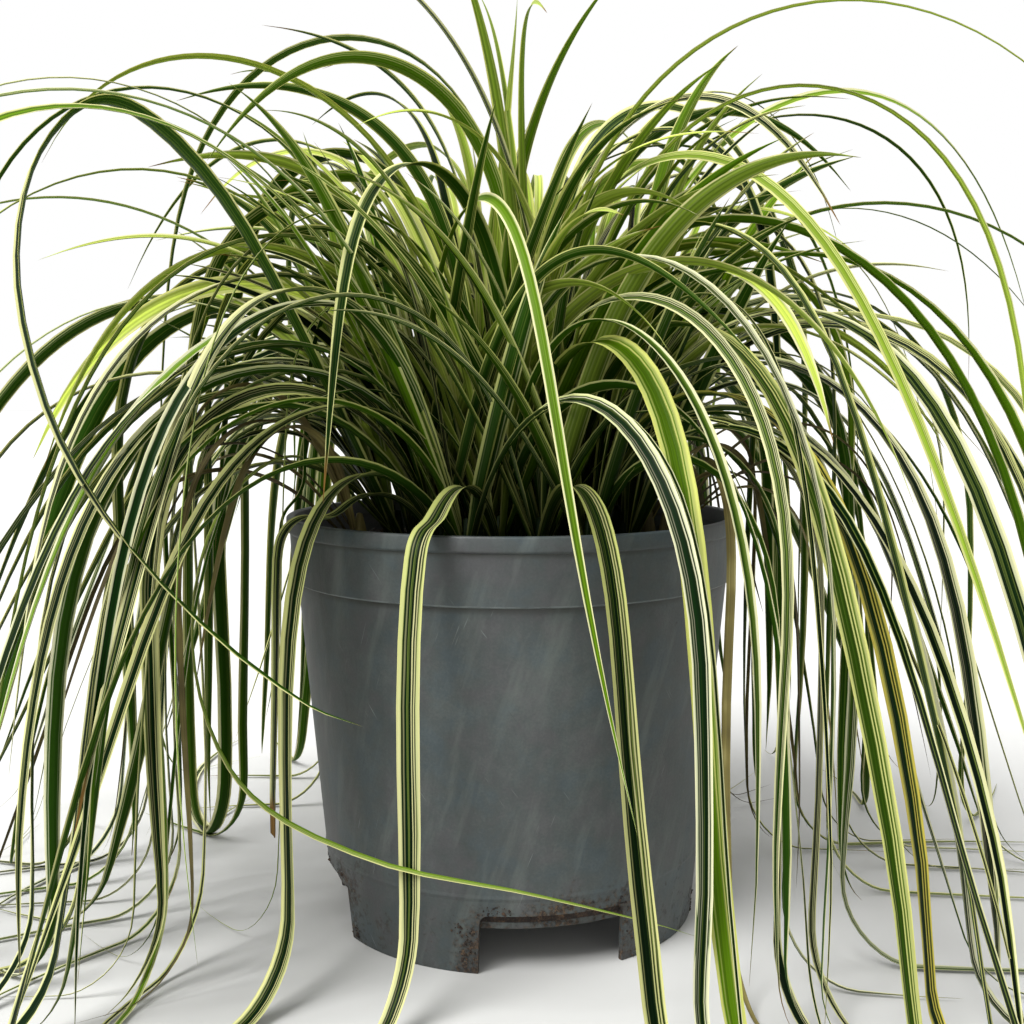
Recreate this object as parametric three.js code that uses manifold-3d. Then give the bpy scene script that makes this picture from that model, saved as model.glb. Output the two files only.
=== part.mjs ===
// A variegated carex sedge in its nursery pot.
// Millimetres, +Z up, with the origin on the surface that the pot stands on, under the pot's axis.
import * as THREE from 'three';
import { mergeVertices } from 'three/addons/utils/BufferGeometryUtils.js';
import Module from 'manifold-3d';

const wasm = await Module();
wasm.setup();

// Driving dimensions, in millimetres and degrees unless a note says otherwise.
const pot = {
  height: 170, rimRadius: 95, footRadius: 77.5, wall: 2.2, sides: 48,
  lipHeight: 6.5, lipOut: 1.4, edge: 0.8, collarHeight: 26.6, collarOut: 2, collarTaper: 1,
  floorZ: 18, floorThick: 2.4, notches: 4, notchTurn: 42, notchHeight: 24, firstNotch: -78,
};
const soil = { top: 156, gap: 0.3, bump: 1.6, rings: [66, 34], sides: 32 };
const clump = {
  shoots: 32, radius: 56, turn: 137.508, leaves: 17, tidyLeaves: 11, seed: 20417,
  sheathRadius: 4.2, sheathTop: 16, sheathDepth: 20, sheathSides: 6,
};
// Tufts of dead leaves round the clump, as [degrees round the pot, distance from its axis].
const dry = {
  places: [[-24, 68], [28, 69], [66, 68], [204, 68]], leaves: 9, seed: 911, length: 300, width: 3.4,
};
// Young leaves in the clump's heart, which hardly hang yet.
const young = { leaves: 2, seed: 6029, shortest: 115, longest: 200, innerLength: 230 };
const form = {
  step: 7, keel: 1.1, rootOut: 2.4, floor: 1.3, landing: 38, tightBend: 13, overRim: 5, reach: 272,
  sweepLength: 400, untwist: 70, upright: 0.14, spread: 0.75, partAt: -100, partWide: 46, partPush: 36,
};
// Leaves are kept while they clear the other shoots, and their own shoot's leaves past rootPart.
const keep = {
  perShoot: 6, clearance: 0.2, rootPart: 60, triangles: 15300,
  segments: 8, broad: 7.4, broadSegments: 10, short: 270, shortSegments: 5,
};
// The leaves that show most, at the front and arching over the crown. Sweep, roll and twist are in radians.
const frontColumns = [
  'x', 'y', 'heading', 'rise', 'length', 'bendAt', 'bendOver', 'hang', 'sweep', 'roll', 'twist', 'width',
];
const frontLeaves = [
  [-22, -38, -128, 30, 400, 52, 20, 178, 0.2, 0.1, 0.3, 9.0],
  [-8, -42, -112, 31, 330, 44, 17, 177, -0.15, -0.1, 0.2, 8.6],
  [-38, 0, -66, 10, 400, 150, 22, 157, 0.1, 0.4, 0.8, 4.6],
  [-36, -28, -141, 36, 196, 40, 14, 180, 0.1, 0.1, 0.2, 7.6],
  [12, -44, -74, 33, 430, 48, 26, 170, 0.35, -0.1, -0.3, 9.2],
  [0, -12, -66, 14, 500, 108, 34, 171, 0.12, 0.15, 0.3, 9.4],
  [16, -18, -58, 15, 520, 118, 40, 169, 0.1, -0.1, 0.4, 9.0],
  [22, -30, -49, 18, 480, 88, 38, 172, 0.05, 0.1, -0.2, 9.4],
  [30, -14, -43, 16, 540, 128, 46, 168, -0.1, 0.2, 0.2, 8.6],
  [34, -34, -35, 22, 470, 84, 36, 171, 0.1, -0.15, 0.3, 8.8],
  [38, -8, -27, 17, 520, 126, 48, 170, -0.15, 0.1, 0.3, 8.2],
  [8, -2, -52, 9, 560, 156, 44, 168, 0.15, 0.1, -0.4, 7.8],
  [-30, -14, -168, 25, 560, 96, 42, 166, 0.55, 0.15, 0.6, 8.4],
  [-34, 8, 176, 27, 520, 84, 44, 172, -0.25, -0.1, 0.5, 8.0],
  [-28, -28, -146, 26, 500, 92, 36, 173, 0.2, 0.1, 0.4, 8.6],
  [-40, -20, -156, 32, 430, 58, 30, 170, -0.15, 0.1, -0.3, 8.2],
  [30, 12, -12, 22, 640, 165, 72, 200, -0.5, 0.1, 0.8, 5.0],
  [24, 20, 12, 20, 600, 178, 64, 196, 0.5, -0.2, 0.6, 5.4],
  [6, 6, 100, 3, 285, 240, 60, 90, 0.2, 0.3, 0.4, 4.4],
  [-14, 14, 150, 9, 300, 220, 60, 110, -0.6, 0.2, 0.6, 4.2],
  [-6, 10, 165, 7, 380, 186, 26, 176, 0.5, 0.2, 0.6, 7.8],
  [4, 14, 30, 8, 460, 192, 34, 180, -0.4, -0.2, 0.4, 7.4],
  [-4, 22, 110, 5, 300, 200, 40, 140, 0.9, 0.3, 0.5, 6.6],
  [10, 4, -20, 10, 430, 164, 30, 182, 0.3, 0.2, -0.4, 8.0],
  [-14, 4, 200, 12, 420, 156, 28, 184, -0.4, 0.1, 0.5, 8.2],
];

const radians = THREE.MathUtils.degToRad;
const { clamp } = THREE.MathUtils;
const around = (radius, turn) => ({ x: radius * Math.cos(turn), y: radius * Math.sin(turn) });

// Where the shoots stand: a sunflower spiral, with the dead tufts outside it.
const livePlaces = Array.from({ length: clump.shoots }, (_, i) => (
  around(clump.radius * Math.sqrt((i + 0.5) / clump.shoots), i * radians(clump.turn))));
const places = [...livePlaces, ...dry.places.map(([turn, radius]) => around(radius, radians(turn)))];

// Lehmer's generator, which gives the same numbers in any language.
function makeDraw(seed) {
  let state = seed;
  return (low = 0, high = 1) => {
    state = (state * 16807) % 2147483647;
    return low + (high - low) * (state / 2147483647);
  };
}

function solidOf(geometry) {
  const bare = geometry.index ? geometry.toNonIndexed() : geometry.clone();
  bare.deleteAttribute('normal');
  bare.deleteAttribute('uv');
  const merged = mergeVertices(bare, 1e-4);
  return new wasm.Manifold(new wasm.Mesh({
    numProp: 3,
    vertProperties: merged.attributes.position.array,
    triVerts: new Uint32Array(merged.index.array),
  }));
}

// A solid from its triangles' corners, each an [x, y, z].
function solidOfFaces(faces) {
  const geometry = new THREE.BufferGeometry();
  geometry.setAttribute('position', new THREE.Float32BufferAttribute(faces.flat(2), 3));
  return solidOf(geometry);
}

function meshOf(name, solid, look) {
  const made = solid.getMesh();
  const geometry = new THREE.BufferGeometry();
  geometry.setAttribute('position', new THREE.BufferAttribute(new Float32Array(made.vertProperties), 3));
  geometry.setIndex(new THREE.BufferAttribute(new Uint32Array(made.triVerts), 1));
  geometry.computeVertexNormals();
  const mesh = new THREE.Mesh(geometry, new THREE.MeshStandardMaterial({ metalness: 0, ...look }));
  mesh.name = name;
  return mesh;
}

// A solid of revolution from [radius, z] points that run from the axis, round the outside, to the axis.
function turned(points, sides) {
  const lathe = new THREE.LatheGeometry(points.map(([r, z]) => new THREE.Vector2(r, z)), sides);
  return solidOf(lathe.rotateX(Math.PI / 2));
}

// The pot's outer radius at a height, up to the step under its collar.
const stepZ = pot.height - pot.collarHeight;
const collarTop = pot.rimRadius - pot.lipOut;
const collarFoot = collarTop - pot.collarTaper;
const wallRadius = (z) => pot.footRadius + (collarFoot - pot.collarOut - pot.footRadius) * (z / stepZ);

// A tapered pot with a lip, a collar, a raised floor and a foot that drain notches cut into four.
function makePot() {
  const { height, rimRadius, lipHeight, edge, wall, floorZ, floorThick } = pot;
  const inside = (z) => wallRadius(z) - wall;
  const floorTop = floorZ + floorThick;
  const shell = turned([
    [0, floorZ], [inside(floorZ), floorZ], [inside(0), 0], [wallRadius(0), 0],
    [wallRadius(stepZ), stepZ], [collarFoot, stepZ + edge],
    [collarTop, height - lipHeight], [rimRadius, height - lipHeight + edge], [rimRadius, height - edge],
    [rimRadius - edge, height], [collarTop - wall + edge, height], [collarTop - wall, height - edge],
    [collarFoot - wall, stepZ + wall], [inside(stepZ), stepZ - edge],
    [inside(floorTop), floorTop], [0, floorTop],
  ], pot.sides);
  const cutters = Array.from({ length: pot.notches }, (_, i) => notchCutter(i));
  return cutters.reduce((body, cutter) => body.subtract(cutter), shell);
}

// One notch's wedge, from under the foot up to the notch's top, less the floor, which stays whole.
function notchCutter(i) {
  const below = 5;
  const middle = radians(pot.firstNotch + (360 / pot.notches) * i);
  const half = radians(pot.notchTurn / 2);
  const near = wallRadius(0) - 4 * pot.wall;
  const arc = (radius, turns) => turns.map((turn) => {
    const { x, y } = around(radius, turn);
    return new THREE.Vector2(x, y);
  });
  const turns = [middle - half, middle, middle + half];
  const outline = new THREE.Shape([...arc(pot.rimRadius, turns), ...arc(near, turns.toReversed())]);
  const wedge = new THREE.ExtrudeGeometry(outline, { depth: pot.notchHeight + below, bevelEnabled: false });
  const radius = wallRadius(pot.floorZ) - pot.wall;
  const plate = new THREE.CylinderGeometry(radius, radius, pot.floorThick, pot.sides);
  plate.rotateX(Math.PI / 2).translate(0, 0, pot.floorZ + pot.floorThick / 2);
  return solidOf(wedge.translate(0, 0, -below)).subtract(solidOf(plate));
}

// The sheath that a shoot's leaves grow out of or, grown by a gap, the hole that it stands in.
function sheath({ x, y }, gap = 0) {
  const { sheathRadius: radius, sheathTop: rise, sheathDepth: depth, sheathSides: sides } = clump;
  const profile = gap > 0
    ? [[0, -depth - gap], [radius + gap, -depth - gap], [radius + gap, rise], [0, rise]]
    : [[0, -depth], [radius, -depth], [radius, rise / 3], [0.6 * radius, rise], [0, rise]];
  return turned(profile, sides).translate([x, y, soil.top]);
}

// Potting mix that fills the pot up to a bumpy top, with a hole for each shoot.
function makeSoil() {
  const inside = (z) => (wallRadius(z) - pot.wall) * Math.cos(Math.PI / soil.sides) - soil.gap;
  const bottom = pot.floorZ + pot.floorThick + soil.gap;
  const shoulder = stepZ - 2;
  const bumpy = (radius, turn) => soil.top
    + soil.bump * (Math.sin(0.11 * radius + 3 * turn) * Math.cos(2 * turn + 0.07 * radius) - 0.4);
  const side = inside(shoulder);
  const rows = [[inside(bottom), () => bottom], [side, () => shoulder], [side, bumpy]];
  soil.rings.forEach((radius) => rows.push([radius, bumpy]));
  const at = (row, k) => {
    const turn = (2 * Math.PI * k) / soil.sides;
    const [radius, height] = rows[row];
    return [...Object.values(around(radius, turn)), height(radius, turn)];
  };
  const faces = [];
  const last = rows.length - 1;
  for (let k = 0; k < soil.sides; k += 1) {
    faces.push([[0, 0, bottom], at(0, k + 1), at(0, k)]);
    for (let row = 0; row < last; row += 1) {
      faces.push([at(row, k), at(row, k + 1), at(row + 1, k + 1)]);
      faces.push([at(row, k), at(row + 1, k + 1), at(row + 1, k)]);
    }
    faces.push([at(last, k), at(last, k + 1), [0, 0, bumpy(0, 0)]]);
  }
  return places.reduce((body, place) => body.subtract(sheath(place, soil.gap)), solidOfFaces(faces));
}

// Leaves part round the open side, where the pot shows.
function parted(heading) {
  const off = Math.atan2(Math.sin(heading - radians(form.partAt)), Math.cos(heading - radians(form.partAt)));
  const push = radians(form.partPush) * Math.exp(-((off / radians(form.partWide)) ** 2));
  return heading + Math.sign(off) * push;
}

// A leaf leaves its sheath on the side that it heads for.
function rootAt(shoot, heading, up) {
  const out = around(form.rootOut, heading);
  return { x: places[shoot].x + out.x, y: places[shoot].y + out.y, z: soil.top + up };
}

// A green leaf heads outward, more or less strictly, and one in seven stands upright.
function greenLeaf(draw, shoot, j) {
  const { x, y } = places[shoot];
  const age = ((j * 5) % clump.leaves) / clump.leaves;
  const wild = j < clump.tidyLeaves ? 0.6 : 1;
  const stray = around(form.spread * wild * Math.sqrt(draw()), draw(0, 2 * Math.PI));
  const [outX, outY] = [x / clump.radius + stray.x, y / clump.radius + stray.y];
  const upright = draw() < form.upright;
  const inner = 1 - Math.hypot(x, y) / clump.radius;
  const heading = parted(Math.atan2(outY, outX));
  const leaf = {
    shoot, ...rootAt(shoot, heading, draw(2, 9)), heading,
    rise: radians(2 + draw(8, 33) * Math.hypot(outX, outY) * (0.55 + 0.45 * age)),
    length: 300 + draw(0, 190) + 60 * age,
    bendAt: draw(45, 120) + 75 * inner, bendOver: draw(20, 55), hang: radians(draw(152, 200)),
    sweep: (0.5 + wild) * draw(-1.1, 1.1), roll: draw(-0.55, 0.55), twist: draw(-1.3, 1.3),
    width: 3.6 + 4.8 * draw(),
  };
  if (upright) {
    leaf.bendAt += 110;
    leaf.bendOver += 30;
    leaf.width *= 0.55;
    leaf.length *= 1.05;
    leaf.rise *= 0.6;
  }
  return leaf;
}

// The longest young leaves stand at the clump's middle, where they also head most every way.
function youngLeaf(draw, shoot) {
  const { x, y } = places[shoot];
  const inner = 1 - Math.hypot(x, y) / clump.radius;
  const heading = parted(Math.atan2(y, x) + draw(-1, 1) * (0.9 + 2.1 * inner));
  return {
    shoot, ...rootAt(shoot, heading, draw(2, 9)), heading,
    rise: radians(draw(2, 16) + 20 * (1 - inner) * draw()),
    length: draw(young.shortest, young.longest) + young.innerLength * inner * draw(),
    bendAt: draw(120, 220), bendOver: draw(25, 60), hang: radians(draw(110, 170)),
    sweep: draw(-1.6, 1.6), roll: draw(-0.7, 0.7), twist: draw(-1.6, 1.6), width: draw(4.6, 9.0),
  };
}

// A front leaf grows from the shoot nearest to its stated root.
function frontLeaf(row) {
  const leaf = Object.fromEntries(frontColumns.map((name, i) => [name, row[i]]));
  const away = ({ x, y }) => Math.hypot(x - leaf.x, y - leaf.y);
  const nearest = livePlaces.reduce((best, place) => (away(place) < away(best) ? place : best));
  const shoot = places.indexOf(nearest);
  const [heading, rise, hang] = [leaf.heading, leaf.rise, leaf.hang].map(radians);
  return { ...leaf, shoot, heading, rise, hang, ...rootAt(shoot, heading, 5) };
}

// A dead leaf is narrow and lies over the rim sooner.
function dryLeaf(draw, shoot) {
  const heading = Math.atan2(places[shoot].y, places[shoot].x) + draw(-0.9, 0.9);
  return {
    shoot, ...rootAt(shoot, heading, draw(2, 9)), heading,
    rise: radians(draw(14, 44)), length: dry.length * draw(0.5, 1.15),
    bendAt: draw(34, 85), bendOver: draw(10, 26), hang: radians(draw(150, 190)),
    sweep: draw(-0.9, 0.9), roll: draw(-0.5, 0.5), twist: draw(-1.2, 1.2), width: dry.width * draw(0.7, 1.5),
  };
}

// The steepest lean from upright, at a height, that still comes down softly on what lies below.
function landing(height, radius) {
  return height > 0 ? Math.PI / 2 + Math.acos(1 - Math.min(height / radius, 1)) : radians(88);
}

// How far a leaf may lean at a place: it clears the rim, and lies down on rim or floor.
function mostLean(x, y, z) {
  const radius = Math.hypot(x, y);
  const above = z - pot.height - form.overRim;
  const onFloor = landing(z - form.floor, form.landing);
  if (radius > pot.rimRadius + 4 * form.overRim) return onFloor;
  if (radius > pot.rimRadius + form.overRim) return Math.min(radians(177), onFloor);
  return above > 0 ? landing(above, form.landing / 2) : radians(50);
}

// Steps along the leaf's middle line, from its root until its length or the plant's reach ends it.
function leafPath(leaf) {
  const { step, floor, reach } = form;
  const sag = (s) => 1 / (1 + Math.exp(-(s - leaf.bendAt) / leaf.bendOver));
  const mostBend = step / form.tightBend;
  let { x, y, z, rise: lean } = leaf;
  const path = [];
  for (let s = 0; ; s += step) {
    const bend = (sag(s) - sag(0)) / (1 - sag(0));
    const aim = Math.min(leaf.rise + (leaf.hang - leaf.rise) * bend, mostLean(x, y, z));
    lean += clamp(aim - lean, -mostBend, mostBend);
    const along = s / form.sweepLength;
    const heading = leaf.heading + leaf.sweep * along * along;
    const clearOfFloor = clamp((z - 4) / form.untwist, 0, 1);
    path.push({ x, y, z, lean, heading, roll: (leaf.roll + leaf.twist * along) * clearOfFloor, s });
    const move = around(step * Math.sin(lean), heading);
    x += move.x;
    y += move.y;
    z = Math.max(z + step * Math.cos(lean), floor);
    if (s >= leaf.length || Math.max(Math.abs(x), Math.abs(y)) > reach) return path;
  }
}

// Full width a fifth of the way up, then a long taper to the tip.
function widthAt(leaf, t) {
  const base = 0.45 + 0.55 * Math.min(1, t / 0.2);
  const tip = 1 - Math.max(0, (t - 0.42) / 0.58) ** 1.7;
  return leaf.width * base * Math.max(tip, 0.12);
}

// Few of the path's steps, closest where the leaf turns most.
function chooseSteps(path, segments) {
  const straight = 0.042; // what a step without a turn counts for, in radians
  const effort = [0];
  for (let i = 1; i < path.length; i += 1) {
    const [a, b] = [path[i - 1], path[i]];
    const aside = Math.abs(b.heading - a.heading) + Math.abs(b.roll - a.roll);
    effort.push(effort[i - 1] + Math.abs(b.lean - a.lean) + 0.4 * aside + straight);
  }
  const share = effort[path.length - 1] / segments;
  const stepAt = (value) => path[effort.findIndex((e) => e >= value - 1e-9)];
  return Array.from({ length: segments + 1 }, (_, k) => stepAt(k * share));
}

// The three corners of a keeled blade at a step: two edges and, under them, the keel.
function section(leaf, step, end, grow) {
  const half = widthAt(leaf, step.s / end) / 2 + grow;
  const high = form.keel / 2 + grow;
  const ahead = around(1, step.heading);
  const back = -Math.cos(step.lean);
  const across = new THREE.Vector3(-ahead.y, ahead.x, 0);
  const up = new THREE.Vector3(back * ahead.x, back * ahead.y, Math.sin(step.lean));
  const along = new THREE.Vector3().crossVectors(across, up);
  [across, up].forEach((v) => v.applyAxisAngle(along, step.roll));
  const corner = (a, b) => new THREE.Vector3(step.x, step.y, step.z)
    .addScaledVector(across, a * half).addScaledVector(up, b * high);
  return [corner(-1, 1), corner(1, 1), corner(0, -1)];
}

// Four corners as two triangles that bulge, so that a twisted blade doesn't pass through itself.
function bulging(a, b, c, d) {
  const { normal, constant } = new THREE.Plane().setFromCoplanarPoints(a, b, c);
  return normal.dot(d) + constant > 0 ? [[a, b, d], [b, c, d]] : [[a, b, c], [a, c, d]];
}

// A blade as a solid, with the boxes round its stretches. It is grown all round by a clearance.
function makeBlade(leaf, path, grow = 0) {
  const end = path[path.length - 1].s;
  const long = leaf.width > keep.broad ? keep.broadSegments : keep.segments;
  const segments = end < keep.short ? keep.shortSegments : long;
  const rings = chooseSteps(path, segments).map((step) => section(leaf, step, end, grow));
  const faces = [rings[0], rings[segments].toReversed()];
  for (let i = 1; i <= segments; i += 1) {
    for (let side = 0; side < 3; side += 1) {
      const next = (side + 1) % 3;
      faces.push(...bulging(rings[i - 1][side], rings[i][side], rings[i][next], rings[i - 1][next]));
    }
  }
  return {
    solid: solidOfFaces(faces.map((face) => face.map((corner) => corner.toArray()))),
    boxes: rings.slice(1).map((ring, i) => new THREE.Box3().setFromPoints([...ring, ...rings[i]])),
  };
}

function wholeBox(solid) {
  const { min, max } = solid.boundingBox();
  return new THREE.Box3(new THREE.Vector3(...min), new THREE.Vector3(...max));
}

// Whether two pieces share any space, with a quick look at their boxes first.
function cross(a, b) {
  const near = a.boxes.some((p) => b.boxes.some((q) => p.intersectsBox(q)));
  return near && !a.solid.intersect(b.solid).isEmpty();
}

// Each leaf in turn joins its shoot if it stands clear of the pot, the soil and the other shoots.
function growShoots(leaves, walls) {
  const shoots = places.map((place) => ({ solid: sheath(place), kept: 0 }));
  const placed = [...walls, ...shoots.map(({ solid }) => solid)].map((solid, i) => (
    { solid, boxes: [wholeBox(solid)], shoot: i - walls.length }));
  let triangles = 0;
  leaves.forEach((leaf) => {
    const shoot = shoots[leaf.shoot];
    if (shoot.kept >= keep.perShoot || triangles > keep.triangles) return;
    const path = leafPath(leaf);
    const whole = makeBlade(leaf, path, keep.clearance);
    const free = makeBlade(leaf, path.filter(({ s }) => s > keep.rootPart), keep.clearance);
    if (placed.some((other) => cross(other.shoot === leaf.shoot ? free : whole, other))) return;
    const blade = makeBlade(leaf, path);
    placed.push({ ...blade, shoot: leaf.shoot });
    shoot.solid = shoot.solid.add(blade.solid);
    shoot.kept += 1;
    triangles += blade.solid.numTri();
  });
  return shoots.map(({ solid }) => outerShell(solid));
}

// The outermost shell alone, so that no hollow stays sealed between leaves that cross.
function outerShell(solid) {
  return solid.decompose().reduce((most, part) => (part.volume() > most.volume() ? part : most));
}

// Front leaves first, then the dead and the young ones, then a round of green ones for all shoots at a time.
function allLeaves() {
  const draw = makeDraw(clump.seed);
  const green = livePlaces.map((_, shoot) => (
    Array.from({ length: clump.leaves }, (__, j) => greenLeaf(draw, shoot, j))));
  const drawDry = makeDraw(dry.seed);
  const dead = dry.places.flatMap((_, tuft) => (
    Array.from({ length: dry.leaves }, () => dryLeaf(drawDry, clump.shoots + tuft))));
  const drawYoung = makeDraw(young.seed);
  const heart = Array.from({ length: young.leaves }, () => (
    livePlaces.map((_, shoot) => youngLeaf(drawYoung, shoot)))).flat();
  const rounds = Array.from({ length: clump.leaves }, (_, j) => green.map((own) => own[j])).flat();
  return [...frontLeaves.map(frontLeaf), ...dead, ...heart, ...rounds];
}

const looks = {
  pot: { color: '#616d70', roughness: 0.55 },
  soil: { color: '#2b211a', roughness: 0.95 },
  green: { color: '#5d7a35', roughness: 0.45 },
  dead: { color: '#8a7048', roughness: 0.7 },
};
const potSolid = makePot();
const soilSolid = makeSoil();
const group = new THREE.Group();
group.add(meshOf('pot', potSolid, looks.pot), meshOf('soil', soilSolid, looks.soil));
growShoots(allLeaves(), [potSolid, soilSolid]).forEach((solid, i) => {
  const tuft = i - clump.shoots;
  const numbered = (name, n) => `${name}_${String(n + 1).padStart(2, '0')}`;
  group.add(tuft < 0 ? meshOf(numbered('shoot', i), solid, looks.green)
    : meshOf(numbered('dry_tuft', tuft), solid, looks.dead));
});

export default group;
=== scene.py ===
import math
from functools import partial
import bmesh
import bpy
import numpy as np
from mathutils import Euler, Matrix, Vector, noise


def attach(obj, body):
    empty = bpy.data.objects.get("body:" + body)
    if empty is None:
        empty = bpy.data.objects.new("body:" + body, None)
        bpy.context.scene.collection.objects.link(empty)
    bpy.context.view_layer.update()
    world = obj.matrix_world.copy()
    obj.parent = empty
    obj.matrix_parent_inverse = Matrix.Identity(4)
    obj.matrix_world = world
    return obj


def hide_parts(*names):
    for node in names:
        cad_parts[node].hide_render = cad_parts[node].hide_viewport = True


# A variegated carex sedge in its nursery pot. Lengths are in millimetres and turned to metres when a
# mesh is made; headings and rises in the tables are in degrees.
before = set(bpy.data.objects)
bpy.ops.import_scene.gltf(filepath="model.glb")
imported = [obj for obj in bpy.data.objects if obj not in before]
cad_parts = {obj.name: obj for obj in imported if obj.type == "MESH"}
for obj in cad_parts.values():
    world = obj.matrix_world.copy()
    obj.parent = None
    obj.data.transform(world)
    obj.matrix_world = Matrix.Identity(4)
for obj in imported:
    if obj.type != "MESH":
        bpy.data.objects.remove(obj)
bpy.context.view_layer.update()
mm = 0.001


def linear(hexColour):
    # sRGB hex to the linear values that the shaders work in
    parts = [int(hexColour[i:i + 2], 16) / 255 for i in (1, 3, 5)]
    return [p / 12.92 if p <= 0.04045 else ((p + 0.055) / 1.055) ** 2.4 for p in parts] + [1.0]


def addNode(tree, kind, inputs=(), stops=(), **settings):
    # One node with its settings and links; a kind in capitals is a Math node's operation. Inputs come
    # in the order that the node shows them, or by name: each is a plain value, a hex colour, a socket,
    # or a node whose first output feeds it.
    if kind.isupper():
        kind, settings = "Math", {"operation": kind}
    node = tree.nodes.new("ShaderNode" + kind)
    for name, value in settings.items():
        setattr(node, name, value)
    if isinstance(inputs, dict):
        pairs = [(node.inputs[name], value) for name, value in inputs.items()]
    else:
        pairs = zip([socket for socket in node.inputs if socket.enabled], inputs)
    for socket, value in pairs:
        if isinstance(value, str):
            value = linear(value)
        if isinstance(value, bpy.types.Node):
            value = next(output for output in value.outputs if output.enabled)
        if isinstance(value, bpy.types.NodeSocket):
            tree.links.new(value, socket)
        else:
            socket.default_value = value
    for i, (place, colour) in enumerate(stops):
        ramp = node.color_ramp.elements
        stop = ramp[i] if i < len(ramp) else ramp.new(place)
        stop.position = place
        stop.color = linear(colour)
    return node


def newMaterial(name):
    # an empty material, and addNode for its tree
    material = bpy.data.materials.new(name)
    material.use_nodes = True
    material.node_tree.nodes.clear()
    return material, partial(addNode, material.node_tree)


def makeDraw(seed):
    # Lehmer's generator, which gives the same numbers in any language
    state = seed

    def draw(low=0.0, high=1.0):
        nonlocal state
        state = (state * 16807) % 2147483647
        return low + (high - low) * (state / 2147483647)
    return draw


def newMesh(name, points, faces):
    mesh = bpy.data.meshes.new(name)
    mesh.from_pydata((np.asarray(points) * mm).tolist(), [], faces, shade_flat=False)
    return mesh


def addData(mesh, name, values, kind="FLOAT_VECTOR", domain="POINT", field="vector"):
    data = mesh.attributes.new(name, kind, domain).data
    data.foreach_set(field, np.asarray(values, dtype=np.float32).ravel())


def addPiece(name, mesh, material, node=None):
    # a visible piece of the plant or pot, in place of the solid that it dresses
    mesh.materials.clear()
    mesh.materials.append(material)
    piece = bpy.data.objects.new(name, mesh)
    bpy.context.scene.collection.objects.link(piece)
    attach(piece, "root")
    if node:
        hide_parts(node)


# ---- camera and light ----
view = {"place": (0.0, -0.557, 0.223), "aim": (0.0, 0.0, 0.170), "lens": 46}
light = {"sky": 1.0, "keyFrom": (-0.55, -0.55, 1.0), "keySpread": 32, "keyStrength": 4.7, "floor": "#bfbfbd"}


def setCamera():
    data = bpy.data.cameras.new("camera")
    data.lens = view["lens"]
    data.sensor_width = 36
    data.clip_start = 0.01
    camera = bpy.data.objects.new("camera", data)
    camera.location = view["place"]
    aim = Vector(view["aim"]) - camera.location
    camera.rotation_euler = aim.to_track_quat("-Z", "Y").to_euler()
    bpy.context.scene.collection.objects.link(camera)
    bpy.context.scene.camera = camera


def setStudio():
    world = bpy.data.worlds.new("studio")
    world.use_nodes = True
    world.node_tree.nodes["Background"].inputs["Color"].default_value = (1, 1, 1, 1)
    world.node_tree.nodes["Background"].inputs["Strength"].default_value = light["sky"]
    bpy.context.scene.world = world
    bpy.context.scene.view_settings.view_transform = "Standard"
    data = bpy.data.lights.new("key", "SUN")
    data.energy = light["keyStrength"]
    data.angle = math.radians(light["keySpread"])
    key = bpy.data.objects.new("key", data)
    key.rotation_euler = Vector(light["keyFrom"]).to_track_quat("Z", "Y").to_euler()
    bpy.context.scene.collection.objects.link(key)
    material, add = newMaterial("matt white studio paper")
    add("OutputMaterial", [add("BsdfPrincipled", {"Base Color": light["floor"], "Roughness": 0.9})])
    bpy.ops.mesh.primitive_circle_add(vertices=96, radius=12, fill_type="NGON", location=(0, 0, 0))
    floor = bpy.context.object
    floor.name = "studio_floor"
    floor.data.materials.append(material)


setCamera()
setStudio()
print("camera and light set")

# ---- the leaves' shape, by the same rule as the solids ----
pot = {"height": 170, "rimRadius": 95, "footRadius": 77.5, "wall": 2.2, "sides": 192,
       "lipHeight": 6.5, "lipOut": 1.4, "edge": 0.8, "collarHeight": 26.6, "collarOut": 2, "collarTaper": 1,
       "floorZ": 18, "floorThick": 2.4, "notches": 4, "notchTurn": 42, "notchHeight": 24, "firstNotch": -78}
clump = {"shoots": 32, "radius": 56, "turn": 137.508, "leaves": 17, "tidyLeaves": 11, "seed": 20417,
         "soilTop": 156, "sheathRadius": 4.2, "sheathTop": 16, "sheathDepth": 20, "sheathSides": 12}
young = {"leaves": 10, "seed": 6029, "lengths": (115, 200), "innerLength": 230}
dry = {"places": [[-24, 68], [28, 69], [66, 68], [204, 68]], "leaves": 9, "seed": 911,
       "length": 300, "width": 3.4}
form = {"step": 7, "rootOut": 2.4, "floor": 1.3, "landing": 38, "tightBend": 13, "overRim": 5,
        "reach": 272, "sweepLength": 400, "untwist": 70, "upright": 0.14, "spread": 0.75,
        "partAt": -100, "partWide": 46, "partPush": 36}
# one leaf's end is cut off: its own values in place of those of every blade
cutEnd = {"taper": 40, "tip": 0.8, "end": 0.3, "brownTip": 0.07}
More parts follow.
